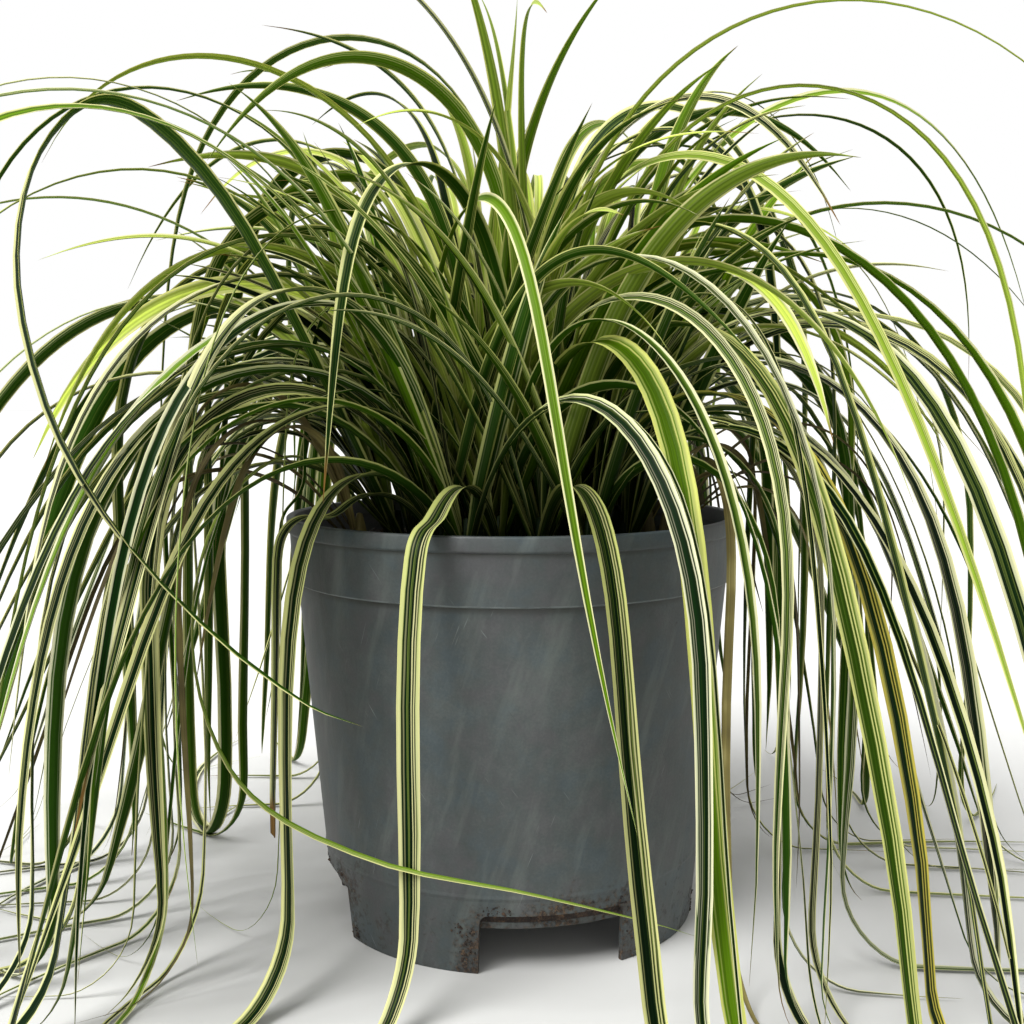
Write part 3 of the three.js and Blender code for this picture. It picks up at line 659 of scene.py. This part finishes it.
def makePotMaterial():
    # Recycled polypropylene, injection moulded: the regrind leaves it finely mottled and faintly
    # streaked up the wall. Handling dulls and scratches it, and damp soil clings about the foot.
    material, add = newMaterial("moulded polypropylene, grey blue")
    place = add("TexCoord").outputs["Object"]
    x, y, height = add("SeparateXYZ", [place]).outputs
    # the wall unrolled at its mean radius: round the pot, then up it
    turn = add("ARCTAN2", [x, add("MULTIPLY", [y, -1.0])])
    wall = add("CombineXYZ", [add("MULTIPLY", [turn, 0.085]), height])
    shown = {}
    for name, (scale, detail, stretch, lean) in potPatterns.items():
        source = place
        if lean is not None:
            source = add("VectorRotate", {"Vector": wall, "Axis": (0.0, 0.0, 1.0), "Angle": lean})
        source = add("VectorMath", [source, stretch], operation="MULTIPLY")
        shown[name] = add("TexNoise", [source, scale, detail, 0.6])
    shown["aboveStep"] = add("MULTIPLY", [add("SUBTRACT", [height, stepZ * mm]), 1 / mm])
    tone = -0.42
    for name, share in (("cloud", 0.9), ("flow", 0.16), ("blotch", 0.36), ("mottle", 0.42)):
        tone = add("MULTIPLY_ADD", [shown[name], share, tone])
    plastic = add("ValToRGB", [tone], potColours["plastic"])
    tint = add("ValToRGB", [shown["tint"]], potColours["tints"])
    colour = add("Mix", [0.4, plastic, tint], data_type="RGBA")
    for colourName, bounds in potMarks:
        share = 1.0
        for name, *limits in bounds:
            share = add("MULTIPLY", [add("MapRange", [shown[name], *limits]), share])
        colour = add("Mix", [share, colour, potColours[colourName]], data_type="RGBA")
    # soil: most of it beside and above the drain notches, fading up the wall
    span = 2 * math.pi / pot["notches"]
    beside = add("ARCTAN2", [y, x])
    for operation, amount in (("ADD", 2 * math.pi - math.radians(pot["firstNotch"]) + span / 2),
                              ("MODULO", span), ("SUBTRACT", span / 2), ("ABSOLUTE", 0.0),
                              ("SUBTRACT", math.radians(pot["notchTurn"] / 2)),
                              ("MULTIPLY", pot["footRadius"] * mm)):
        beside = add(operation, [beside, amount])
    overNotch = add("SUBTRACT", [height, pot["notchHeight"] * mm])
    outside = add("MAXIMUM", [beside, overNotch])
    soiled = add("MULTIPLY_ADD", [shown["patches"], 0.7, shown["crumbs"]])
    for source, *limits in ((outside, 0.0, 0.016, 0.17, -0.06), (height, 0.0, 0.06, 0.07, -0.2)):
        soiled = add("ADD", [soiled, add("MapRange", [source, *limits])])
    dust = add("MapRange", [soiled, 0.86, 1.06, 0.0, 0.55])
    clinging = add("MapRange", [soiled, 1.02, 1.09, 0.0, 0.95])
    covered = add("MAXIMUM", [dust, clinging])
    earth = add("ValToRGB", [shown["earth"]], potColours["soil"])
    colour = add("Mix", [covered, colour, earth], data_type="RGBA")
    gloss = add("MapRange", [shown["cloud"], 0.3, 0.7, 0.40, 0.56])
    gloss = add("MULTIPLY_ADD", [dust, 0.5, gloss])
    grain = add("MULTIPLY_ADD", [shown["flow"], 1.5, shown["grain"]])
    grain = add("MULTIPLY_ADD", [clinging, 5.0, grain])
    bump = add("Bump", {"Height": grain, "Strength": 0.35, "Distance": 0.00015})
    skin = add("BsdfPrincipled", {"Base Color": colour, "Roughness": gloss, "IOR": 1.49, "Normal": bump})
    add("OutputMaterial", [skin])
    return material


makePot()
print("pot moulded")

# ---- the potting mix ----
mix = {"bottom": 20.7, "top": 154.5, "side": 90.0, "clear": 2.5, "rings": 44, "sides": 200,
       "heapHigh": 2.5, "heapWide": 80, "lumps": 3.4, "lumpWide": 14, "grain": 1.3, "grainWide": 3.2,
       "reach": 88, "crumbs": 1500, "crumbSize": (0.6, 2.0), "heaps": 44, "heap": 9, "seed": 77}
# chips of bark, and fibres: how many, their three sizes, how far in and up they lie, tone and tilt
bits = [{"count": 300, "sizes": ((1.8, 4.6), (0.9, 2.0), (0.35, 0.8)), "inward": 0.96, "up": 0.7,
         "tone": (0.2, 0.6), "tilt": 0.35},
        {"count": 110, "sizes": ((4, 9), (0.25, 0.5), (0.2, 0.4)), "inward": 0.88, "up": 1.6,
         "tone": (0.35, 0.75), "tilt": 0.2}]


def mixTop(x, y):
    # height of the mix: it heaps round the clump and is combed into lumps and grains
    heap = mix["heapHigh"] * max(0, 1 - math.hypot(x, y) / mix["heapWide"])
    lumps = noise.fractal((x / mix["lumpWide"], y / mix["lumpWide"], 3.1), 1.0, 2.0, 3)
    grain = noise.fractal((x / mix["grainWide"], y / mix["grainWide"], 7.7), 0.8, 2.0, 3)
    return mix["top"] + heap + mix["lumps"] * 0.6 * lumps + mix["grain"] * 0.6 * grain


def makeMixMaterial():
    # Peat and composted bark, loose and damp: dark, rough grains with paler fibres in them.
    material, add = newMaterial("peat and bark potting mix")
    place = add("TexCoord").outputs["Object"]
    coarse = add("TexNoise", [place, 260.0, 5.0, 0.7])  # lumps of 4 mm
    fine = add("TexNoise", [place, 1300.0, 3.0])
    cells = add("TexVoronoi", [place, 420.0])
    tone = add("MULTIPLY_ADD", [fine, 0.4, coarse])
    colour = add("ValToRGB", [tone],
                 [(0.50, "#120d0a"), (0.68, "#261b14"), (0.80, "#3c2c20"), (0.95, "#6b5038")])
    height = add("MULTIPLY_ADD", [cells, -1.5, tone])
    bump = add("Bump", {"Height": height, "Strength": 0.9, "Distance": 0.0008})
    skin = add("BsdfPrincipled", {"Base Color": colour, "Roughness": 0.9, "IOR": 1.5, "Normal": bump})
    add("OutputMaterial", [skin])
    return material


def makeBarkMaterial():
    # Broken bark, fibres and crumbs of peat: each bit has its own brown, with a woody grain.
    material, add = newMaterial("broken bark and peat crumbs")
    place = add("TexCoord").outputs["Object"]
    bit = add("SeparateXYZ", [add("Attribute", attribute_name="bitTone").outputs["Vector"]])
    grain = add("TexNoise", [place, 900.0, 3.0])  # wood grain of 1 mm
    tone = add("MULTIPLY_ADD", [grain, 0.5, bit])
    colour = add("ValToRGB", [tone],
                 [(0.15, "#0f0b09"), (0.5, "#271d16"), (0.85, "#554030"), (1.0, "#8f7857")])
    bump = add("Bump", {"Height": grain, "Strength": 0.6, "Distance": 0.0004})
    skin = add("BsdfPrincipled", {"Base Color": colour, "Roughness": 0.85, "IOR": 1.5, "Normal": bump})
    add("OutputMaterial", [skin])
    return material


def makeMix():
    shoulder, sides = stepZ - 2, mix["sides"]
    rings = [(wallRadius(mix["bottom"]) - mix["clear"], mix["bottom"]),
             (wallRadius(shoulder) - mix["clear"], shoulder),
             (mix["side"], stepZ + 3), (mix["side"] + 0.2, mix["top"] - 2)]
    points = [point for r, z in rings for point in ringOf(r, z, sides)]
    for i in range(mix["rings"]):
        points += [(x, y, mixTop(x, y)) for x, y, _ in ringOf(mix["side"] * (1 - i / mix["rings"]), 0, sides)]
    points += [(0, 0, mix["bottom"]), (0, 0, mixTop(0, 0))]
    mesh = newMesh("potting_mix", points, roundLoft(len(rings) + mix["rings"], sides)[0])
    addPiece("potting_mix", mesh, makeMixMaterial(), "soil")


def lumpShape(detail):
    # a unit ball of triangles, to be squashed and bent into a crumb
    bm = bmesh.new()
    bmesh.ops.create_icosphere(bm, subdivisions=detail, radius=1)
    points = np.array([v.co[:] for v in bm.verts])
    faces = [tuple(v.index for v in face.verts) for face in bm.faces]
    bm.free()
    return points, faces


def scatterCrumbs():
    draw = np.random.default_rng(mix["seed"])
    small, chip = lumpShape(1), lumpShape(2)
    points, faces, tones = [], [], []
    count = 0

    def addBit(shape, sizes, middle, tone, tilt):
        nonlocal count
        base, triangles = shape
        rough = base * (1 + 0.28 * draw.standard_normal((len(base), 1)).clip(-1.5, 1.5)) * sizes
        turn = Euler((draw.normal(0, tilt), draw.normal(0, tilt), draw.uniform(0, 2 * math.pi))).to_matrix()
        points.append(rough @ np.array(turn).T + middle)
        faces.extend(tuple(count + v for v in face) for face in triangles)
        tones.append(np.full((len(base), 3), tone))
        count += len(base)

    def drawSpot():
        radius = mix["reach"] * math.sqrt(draw.uniform(0.05, 1))
        x, y = around(radius, draw.uniform(0, 2 * math.pi))
        return x, y, mixTop(x, y)
    for _ in range(mix["crumbs"]):
        x, y, z = drawSpot()
        size = draw.uniform(*mix["crumbSize"])
        sizes = size * draw.uniform(0.6, 1.3, 3)
        addBit(small, sizes, (x, y, z + 0.3 * size), draw.uniform(0, 0.35), 1.0)
    for kind in bits:
        for _ in range(kind["count"]):
            x, y, z = drawSpot()
            sizes = np.array([draw.uniform(*span) for span in kind["sizes"]])
            where = (x * kind["inward"], y * kind["inward"], z + kind["up"])
            addBit(chip, sizes, where, draw.uniform(*kind["tone"]), kind["tilt"])
    # soil that clings to the feet in small heaps, beside and above the notches
    half = math.radians(pot["notchTurn"] / 2)
    for i in range(mix["heaps"]):
        notch = math.radians(pot["firstNotch"] + 360 / pot["notches"] * draw.integers(pot["notches"]))
        off = (half + abs(draw.normal(0, 0.05)) + 0.015) * draw.choice((-1, 1))
        z = abs(draw.normal(0, 9)) + 1.5
        if i % 3 == 0:
            off, z = draw.uniform(-half, half), pot["notchHeight"] + 1.5
        for _ in range(mix["heap"]):
            size = draw.uniform(0.15, 0.4) + 0.5 * draw.uniform(0, 1) ** 4
            up = max(z + draw.normal(0, 1.5), 1.8 * size)
            across = off + draw.normal(0, 1.8) / pot["footRadius"]
            if abs(across) < half + 0.01:
                up = max(up, pot["notchHeight"] + 0.4)
            where = (*around(wallRadius(up) + 0.05 * size, notch + across), up)
            addBit(small, size * draw.uniform(0.6, 1.2, 3), where, draw.uniform(0.05, 0.45), 1.0)
    mesh = newMesh("bark_crumbs", np.concatenate(points), faces)
    addData(mesh, "bitTone", np.concatenate(tones))
    addPiece("bark_crumbs", mesh, makeBarkMaterial())


makeMix()
scatterCrumbs()
print("pot filled with mix and bark")

# ---- leaf materials ----
leafColours = {
    "cores": [(0.0, "#021103"), (0.35, "#0a2703"), (0.7, "#5d8009"), (1.0, "#acbc4c")],
    "margins": [(0.0, "#dddcbe"), (0.4, "#dbd89e"), (0.75, "#cfd274"), (1.0, "#e0cf5c")],
    # base is painted shade, the dark of each blade's lowest part deep in the clump
    "underside": "#345c08", "line": "#8a9d48", "base": "#0c1804", "tip": "#77592b",
    "spots": "#b0602a", "band": "#6d8654", "lowMargin": "#bcc566",
}


def makeLeafMaterial():
    # A living sedge blade: long cells and veins run its whole length under a thin coat of wax,
    # so the stripes and the satin gloss are drawn out along it and some light comes through.
    material, add = newMaterial("living sedge blade, waxed and striped")
    u, v, _ = add("SeparateXYZ", [add("UVMap", uv_map="leafUV")]).outputs
    place, traits, finish = [add("Attribute", attribute_name=name).outputs["Vector"]
                             for name in ("leafPlace", "leafTraits", "leafFinish")]
    acrossMm, alongMm, _ = add("SeparateXYZ", [place]).outputs
    coreTone, left, right = add("SeparateXYZ", [traits]).outputs
    cream, brownTip, lined = add("SeparateXYZ", [finish]).outputs
    under = add("Attribute", attribute_name="underside").outputs["Fac"]
    # patterns, drawn out along the blade: the wavering of its margins, streaks 0.7 mm apart, pale
    # lines and rusty spots
    waver, streak, pin, spot = [
        add("TexNoise", [add("VectorMath", [place, stretch], operation="MULTIPLY"), 1.0, *detail])
        for stretch, *detail in (((0.25, 0.012, 1.0), 2.0), ((0.8, 0.004, 1.0), 3.0, 0.6),
                                 ((1.7, 0.003, 1.0), 1.0), ((0.4, 0.05, 1.0), 2.0))]
    # how far out across the blade, 0 on the midrib and 1 on the edge, with a slow waver
    signed = add("MULTIPLY_ADD", [u, 2.0, -1.0])
    off = add("ABSOLUTE", [signed])
    out = add("ADD", [off, add("MapRange", [waver, 0.3, 0.7, -0.08, 0.08])])
    rightSide = add("GREATER_THAN", [u, 0.5])
    margin = add("Mix", [rightSide, left, right])
    inward = add("MULTIPLY_ADD", [margin, add("MULTIPLY_ADD", [under, -0.45, 1.0]), out])
    # a pale line or two inside the margin, clearest along one side; only a narrow margin has both
    lines = 0.0
    for at, wide, widestMargin in ((0.80, 0.10, 0.60), (0.55, 0.09, 0.30)):
        lineOff = add("ABSOLUTE", [add("SUBTRACT", [inward, at])])
        line = add("MapRange", [lineOff, wide, 0.0, 0.0, 0.9], interpolation_type="SMOOTHSTEP")
        room = add("MapRange", [margin, widestMargin + 0.04, widestMargin])
        lines = add("MAXIMUM", [add("MULTIPLY", [line, room]), lines])
    lineMask = add("MULTIPLY", [lines, add("MULTIPLY_ADD", [rightSide, 0.7, 0.3])])
    lineMask = add("MULTIPLY", [lineMask, lined])
    pinMask = add("MapRange", [pin, 0.54, 0.70, 0.0, 0.4], interpolation_type="SMOOTHSTEP")
    # veins, strong here and faint there: the real ones are 0.4 mm apart, and they are drawn 1.5 mm
    # apart, as coarse as they need to be to show
    vein = add("MULTIPLY_ADD", [streak, 6.0, add("MULTIPLY", [acrossMm, 2 * math.pi / 1.5])])
    vein = add("SINE", [vein])
    # the middle and the margins, each lighter and darker with the streaks and the veins
    tones = []
    for share, stops, onStreak, onVein in ((coreTone, "cores", (0.6, 1.6), (0.82, 1.14)),
                                           (cream, "margins", (0.8, 1.06), (0.88, 1.04))):
        brightness = add("MULTIPLY", [add("MapRange", [streak, 0.3, 0.7, *onStreak]),
                                      add("MapRange", [vein, -1.0, 1.0, *onVein])])
        tone = add("ValToRGB", [share], leafColours[stops])
        tones.append(add("VectorMath", [tone, brightness], operation="SCALE"))
    core, pale = tones
    top = add("Mix", [pinMask, core, leafColours["line"]], data_type="RGBA")
    top = add("Mix", [lineMask, top, pale], data_type="RGBA")
    # the underside is plainer: it keeps only the outer half of each margin
    below = add("Mix", [0.5, top, leafColours["underside"]], data_type="RGBA")
    wavering = add("MULTIPLY_ADD", [vein, 0.03, inward])
    marginMask = add("MapRange", [wavering, 0.93, 1.03], interpolation_type="SMOOTHSTEP")
    # the margin is greener within and brightest along the very edge, and it pales only as it leaves
    # the clump: low down it is still yellow-green
    within = add("MULTIPLY", [add("MapRange", [wavering, 0.96, 1.2, 0.42, 0.05]),
                              add("MapRange", [off, 0.80, 0.90, 1.0, 0.0])])
    low = add("MapRange", [alongMm, 60.0, 160.0, 0.7, 0.0])
    band = add("Mix", [within, pale, leafColours["band"]], data_type="RGBA")
    band = add("Mix", [low, band, leafColours["lowMargin"]], data_type="RGBA")
    # the yellowest leaf is going over: a rusty smear along one edge, 50 mm long, where it bends
    spots = add("MapRange", [add("MULTIPLY_ADD", [spot, 0.5, signed]), -0.35, -0.6, 0.0, 0.85])
    fromMiddle = add("ABSOLUTE", [add("SUBTRACT", [alongMm, 150.0])])
    for source, *limits in ((fromMiddle, 28.0, 8.0), (cream, 0.9, 0.95)):
        spots = add("MULTIPLY", [spots, add("MapRange", [source, *limits])])
    # painted shade darkens the first 95 mm above its sheath, where the clump shades it, and some tips are
    # brown
    base = add("MapRange", [alongMm, 0.0, 95.0, 0.9, 0.0])
    tip = add("ADD", [add("MULTIPLY_ADD", [streak, 0.06, v]), brownTip])
    tip = add("MapRange", [tip, 1.02, 1.05])
    colour = top
    for mask, over in ((under, below), (marginMask, band), (spots, leafColours["spots"]),
                       (base, leafColours["base"]), (tip, leafColours["tip"])):
        colour = add("Mix", [mask, colour, over], data_type="RGBA")
    # the veins stand up as ribs, a few hundredths of a millimetre high
    height = add("MULTIPLY_ADD", [streak, 2.0, vein])
    bump = add("Bump", {"Height": height, "Strength": 0.5, "Distance": 0.00006})
    gloss = add("MapRange", [streak, 0.0, 1.0, 0.36, 0.56])
    skin = add("BsdfPrincipled", {"Base Color": colour, "Roughness": gloss, "IOR": 1.42,
                                  "Specular IOR Level": 0.09, "Normal": bump})
    # light that has come through a blade is yellower than light off it
    warm = add("VectorMath", [colour, (1.32, 1.34, 0.55)], operation="MULTIPLY")
    add("OutputMaterial", [add("MixShader", [0.24, skin, add("BsdfTranslucent", [warm])])])
    return material


dryColours = [(0.0, "#29230f"), (0.45, "#4c431f"), (0.8, "#786e3a"), (1.0, "#a0965f")]


def makeDryMaterial():
    # A dead sedge blade, dried on the plant: it has lost its wax and shrunk on its veins,
    # which leaves a dull, ribbed straw colour with darker streaks.
    material, add = newMaterial("dried sedge blade, straw")
    place, traits = [add("Attribute", attribute_name=name).outputs["Vector"]
                     for name in ("leafPlace", "leafTraits")]
    stretched = add("VectorMath", [place, (1.2, 0.008, 1.0)], operation="MULTIPLY")
    streak = add("TexNoise", [stretched, 1.0, 4.0, 0.65])
    patch = add("TexNoise", [place, 0.05, 2.0])  # 20 mm
    tone = add("MULTIPLY_ADD", [patch, 0.7, add("SeparateXYZ", [traits])])
    tone = add("MULTIPLY_ADD", [streak, 0.8, tone])
    colour = add("ValToRGB", [add("MapRange", [tone, 0.55, 1.35])], dryColours)
    bump = add("Bump", {"Height": streak, "Strength": 0.7, "Distance": 0.0002})
    skin = add("BsdfPrincipled", {"Base Color": colour, "Roughness": 0.72, "IOR": 1.45, "Normal": bump})
    add("OutputMaterial", [add("MixShader", [0.15, skin, add("BsdfTranslucent", [colour])])])
    return material


# ---- the clump ----
# Young leaves that arch over the crown, in the columns of frontLeaves.
crownLeaves = [
    (2, -6, 20, 4, 330, 176, 24, 170, 0.4, 0.3, 0.4, 7.6, 0.75, 0.30, 0.24, 0.70),
    (-8, 2, 140, 3, 300, 170, 30, 165, -0.5, -0.2, 0.5, 7.0, 0.80, 0.22, 0.28, 0.75),
    (4, 6, 60, 2, 280, 190, 40, 120, 0.4, 0.5, 0.8, 6.4, 0.55, 0.30, 0.30, 0.60),
    (-4, -4, 230, 6, 320, 168, 26, 172, 0.3, 0.3, -0.5, 7.8, 0.30, 0.34, 0.30, 0.50),
    (0, 2, 95, 4, 350, 180, 22, 178, 0.6, 0.1, 0.9, 7.2, 0.85, 0.26, 0.26, 0.75),
    (8, -2, -10, 5, 340, 184, 22, 176, -0.5, 0.2, 0.5, 7.4, 0.35, 0.34, 0.26, 0.55),
    (-12, -6, 190, 5, 330, 160, 26, 176, -0.4, 0.1, 0.8, 8.2, 0.20, 0.36, 0.30, 0.50),
    (-2, 8, 75, 1, 260, 230, 50, 80, 0.5, 0.6, 1.2, 5.6, 0.90, 0.24, 0.22, 0.75),
    (6, 2, 250, 2, 250, 220, 50, 80, -0.5, 0.4, 1.2, 5.8, 0.85, 0.22, 0.26, 0.70),
    (-6, -2, 300, 3, 240, 200, 50, 90, 0.4, -0.4, 0.9, 6.2, 0.65, 0.26, 0.26, 0.65),
    (0, 0, 200, 2, 300, 205, 30, 150, 0.5, 0.5, 0.9, 6.8, 0.60, 0.30, 0.26, 0.60),
    (6, 4, 20, 3, 310, 198, 26, 160, -0.4, 0.4, 0.8, 7.0, 0.30, 0.34, 0.30, 0.45),
    (-6, 6, 120, 2, 290, 215, 40, 110, 0.6, -0.5, 1.1, 5.8, 0.80, 0.26, 0.30, 0.70),
    (3, -6, 330, 3, 290, 188, 30, 150, -0.6, 0.3, 0.8, 6.6, 0.12, 0.32, 0.26, 0.40),
    (-10, 0, 170, 4, 290, 172, 28, 165, 0.4, 0.4, 0.7, 7.2, 0.70, 0.28, 0.34, 0.65),
    (10, 6, 40, 3, 300, 190, 34, 145, 0.5, -0.4, 0.9, 6.4, 0.45, 0.30, 0.24, 0.55),
    (-2, 0, 265, 2, 270, 208, 34, 140, 0.5, 0.5, 0.9, 5.4, 0.85, 0.26, 0.26, 0.70),
    (4, 10, 80, 4, 320, 178, 26, 165, -0.5, 0.3, 0.8, 7.6, 0.18, 0.36, 0.30, 0.40),
]
# the share drawn of the long leaves that the solids leave out, and one thin leaf a shoot
more = {"share": 0.01, "leftShare": 0.14, "leftOf": -60, "seed": 5501}
thin = {"widths": (1.3, 2.9), "seed": 3301}
tips = {"within": 150, "under": 200}
# how the looks spread, for leaves that have none of their own; the young are lime, with narrow margins
looks = {"seed": 5077, "youth": 0.3, "lime": 1.35, "toneOff": (-0.12, 0.15), "margin": (0.2, 0.52),
         "youngFrom": 0.59, "youngMargin": 0.85, "cream": 0.1, "creamInYoung": 0.5, "creamOff": (-0.25, 0.25),
         "mostCream": 0.9, "brownTip": (0.0, 0.05), "brownShare": 0.5, "linedShare": 0.6}
# Single leaves with a course of their own: points on the middle line, the side they face, width, look.
strays = [
    {"line": [(-44, -30, 160), (-75, -62, 232), (-104, -92, 292), (-132, -112, 318), (-152, -124, 300),
              (-158, -130, 262), (-148, -134, 216), (-128, -136, 178), (-100, -138, 146), (-70, -140, 122),
              (-52, -140, 114)],
     "heading": -140, "width": 9.0, "taper": 4, "look": (0.22, 0.34, 0.30, 0.45)},
    {"line": [(-46, -22, 160), (-84, -40, 196), (-112, -66, 176), (-118, -88, 130), (-96, -104, 84),
              (-48, -114, 60), (6, -116, 48), (48, -108, 34), (66, -102, 26)],
     "heading": -160, "width": 4.2, "taper": 2.5, "look": (0.80, 0.20, 0.20, 0.50)},
]


def strayLeaf(stray):
    # a path as grown gives it, along a smooth curve through the stated points
    knots = np.array(stray["line"], dtype=float)
    knots = np.vstack([2 * knots[0] - knots[1], knots, 2 * knots[-1] - knots[-2]])
    curve = []
    for i in range(1, len(knots) - 2):
        a, b, c, d = knots[i - 1:i + 3]
        for t in np.arange(0, 1, 0.1):
            curve.append(0.5 * (2 * b + (c - a) * t + (2 * a - 5 * b + 4 * c - d) * t ** 2
                                + (3 * b - a - 3 * c + d) * t ** 3))
    curve = np.array([*curve, knots[-2]])
    s = np.concatenate([[0], np.cumsum(np.linalg.norm(np.diff(curve, axis=0), axis=1))])
    heading = np.full(len(s), math.radians(stray["heading"]))
    path = np.stack([*curve.T, 0 * s, heading, 0.3 * s / s[-1], s], 1)
    return {**stray, "shoot": nearestShoot(stray["line"][0][:2]), "path": path, "brownTip": 0.0}


def solidCorners():
    # the corners of each shoot's solid and of each tuft's
    names = [f"shoot_{i + 1:02d}" for i in range(clump["shoots"])]
    names += [f"dry_tuft_{i + 1:02d}" for i in range(len(dry["places"]))]
    corners = []
    for name in names:
        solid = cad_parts[name].data
        flat = np.empty(len(solid.vertices) * 3)
        solid.vertices.foreach_get("co", flat)
        corners.append(flat.reshape(-1, 3) / mm)
    return corners


def inSolids(leaf, corners):
    # whether the solid of the leaf's shoot has the keel corner of its last step
    x, y, z, lean, heading, roll, _ = leaf["path"][-1]
    up = np.array((-math.cos(lean) * math.cos(heading), -math.cos(lean) * math.sin(heading), math.sin(lean)))
    across = np.array((-math.sin(heading), math.cos(heading), 0))
    keel = np.array((x, y, z)) - 0.55 * (up * math.cos(roll) - across * math.sin(roll))
    return np.abs(corners[leaf["shoot"]] - keel).max(axis=1).min() < 0.05


def sticksOut(leaf):
    # whether a leaf ends in the air beside the crown, where the plant has hardly any tips
    x, y, z = leaf["path"][-1][:3]
    return z > tips["under"] and math.hypot(x, y) > tips["within"]


def livingLeaves(corners):
    shoots = range(clump["shoots"])
    leaves = [grown(frontLeaf(row)) for row in frontLeaves + crownLeaves]
    draw, drawMore = makeDraw(clump["seed"]), makeDraw(more["seed"])
    solidCount = 0
    for shoot in shoots:
        for j in range(clump["leaves"]):
            leaf = grown(greenLeaf(draw, shoot, j))
            share = more["leftShare"] if leaf["path"][-1][0] < more["leftOf"] else more["share"]
            chosen = drawMore() < share and not sticksOut(leaf)
            solid = inSolids(leaf, corners)
            solidCount += solid
            if solid or chosen:
                leaves.append(leaf)
    draw = makeDraw(thin["seed"])
    for shoot in shoots:
        leaf = greenLeaf(draw, shoot, clump["tidyLeaves"])
        leaf = grown({**leaf, "width": draw(*thin["widths"])})
        if not sticksOut(leaf):
            leaves.append(leaf)
    draw = makeDraw(young["seed"])
    for _ in range(young["leaves"]):
        for shoot in shoots:
            leaf = grown(youngLeaf(draw, shoot))
            if not sticksOut(leaf) or inSolids(leaf, corners):
                leaves.append(leaf)
    return leaves + [strayLeaf(stray) for stray in strays], solidCount


def deadLeaves(corners):
    draw = makeDraw(dry["seed"])
    tufts = range(clump["shoots"], clump["shoots"] + len(dry["places"]))
    leaves = [grown(dryLeaf(draw, tuft)) for tuft in tufts for _ in range(dry["leaves"])]
    return [leaf for leaf in leaves if inSolids(leaf, corners)]


def giveLook(leaf, draw):
    # tone, left and right margin, cream, how much of the tip is brown, and whether it is lined
    leaf["seed"] = draw()
    youth = leaf.get("youth", looks["youth"])
    share = draw()
    tone = looks["lime"] * youth * (3 - 2 * share) * share * share + draw(*looks["toneOff"])
    narrow = looks["youngMargin"] if youth > looks["youngFrom"] else 1
    left, right = narrow * draw(*looks["margin"]), narrow * draw(*looks["margin"])
    cream = looks["cream"] + looks["creamInYoung"] * youth + draw(*looks["creamOff"])
    own = leaf.get("look", (clamp(tone, 0, 1), left, right, clamp(cream, 0, looks["mostCream"])))
    brownTip = draw(*looks["brownTip"]) if draw() < looks["brownShare"] else 0.0
    lined = 1.0 if draw() < looks["linedShare"] else 0.0
    leaf["traits"] = (*own, leaf.get("brownTip", brownTip), lined)


def growClump():
    corners = solidCorners()
    leaves, solidCount = livingLeaves(corners)
    dead = deadLeaves(corners)
    draw = makeDraw(looks["seed"])
    for leaf in leaves + dead:
        giveLook(leaf, draw)
    green, straw = makeLeafMaterial(), makeDryMaterial()
    for number in range(1, clump["shoots"] + 1):
        makeShoot("sedge_shoot", number, leaves, green, "green_leaf", "shoot")
    for number in range(1, len(dry["places"]) + 1):
        makeShoot("dead_tuft", number, dead, straw, "dry_leaf", "dry_tuft")
    print("clump grown:", len(leaves), "green leaves,", solidCount, "of them drawn in the solids,",
          len(dead), "dead")


growClump()
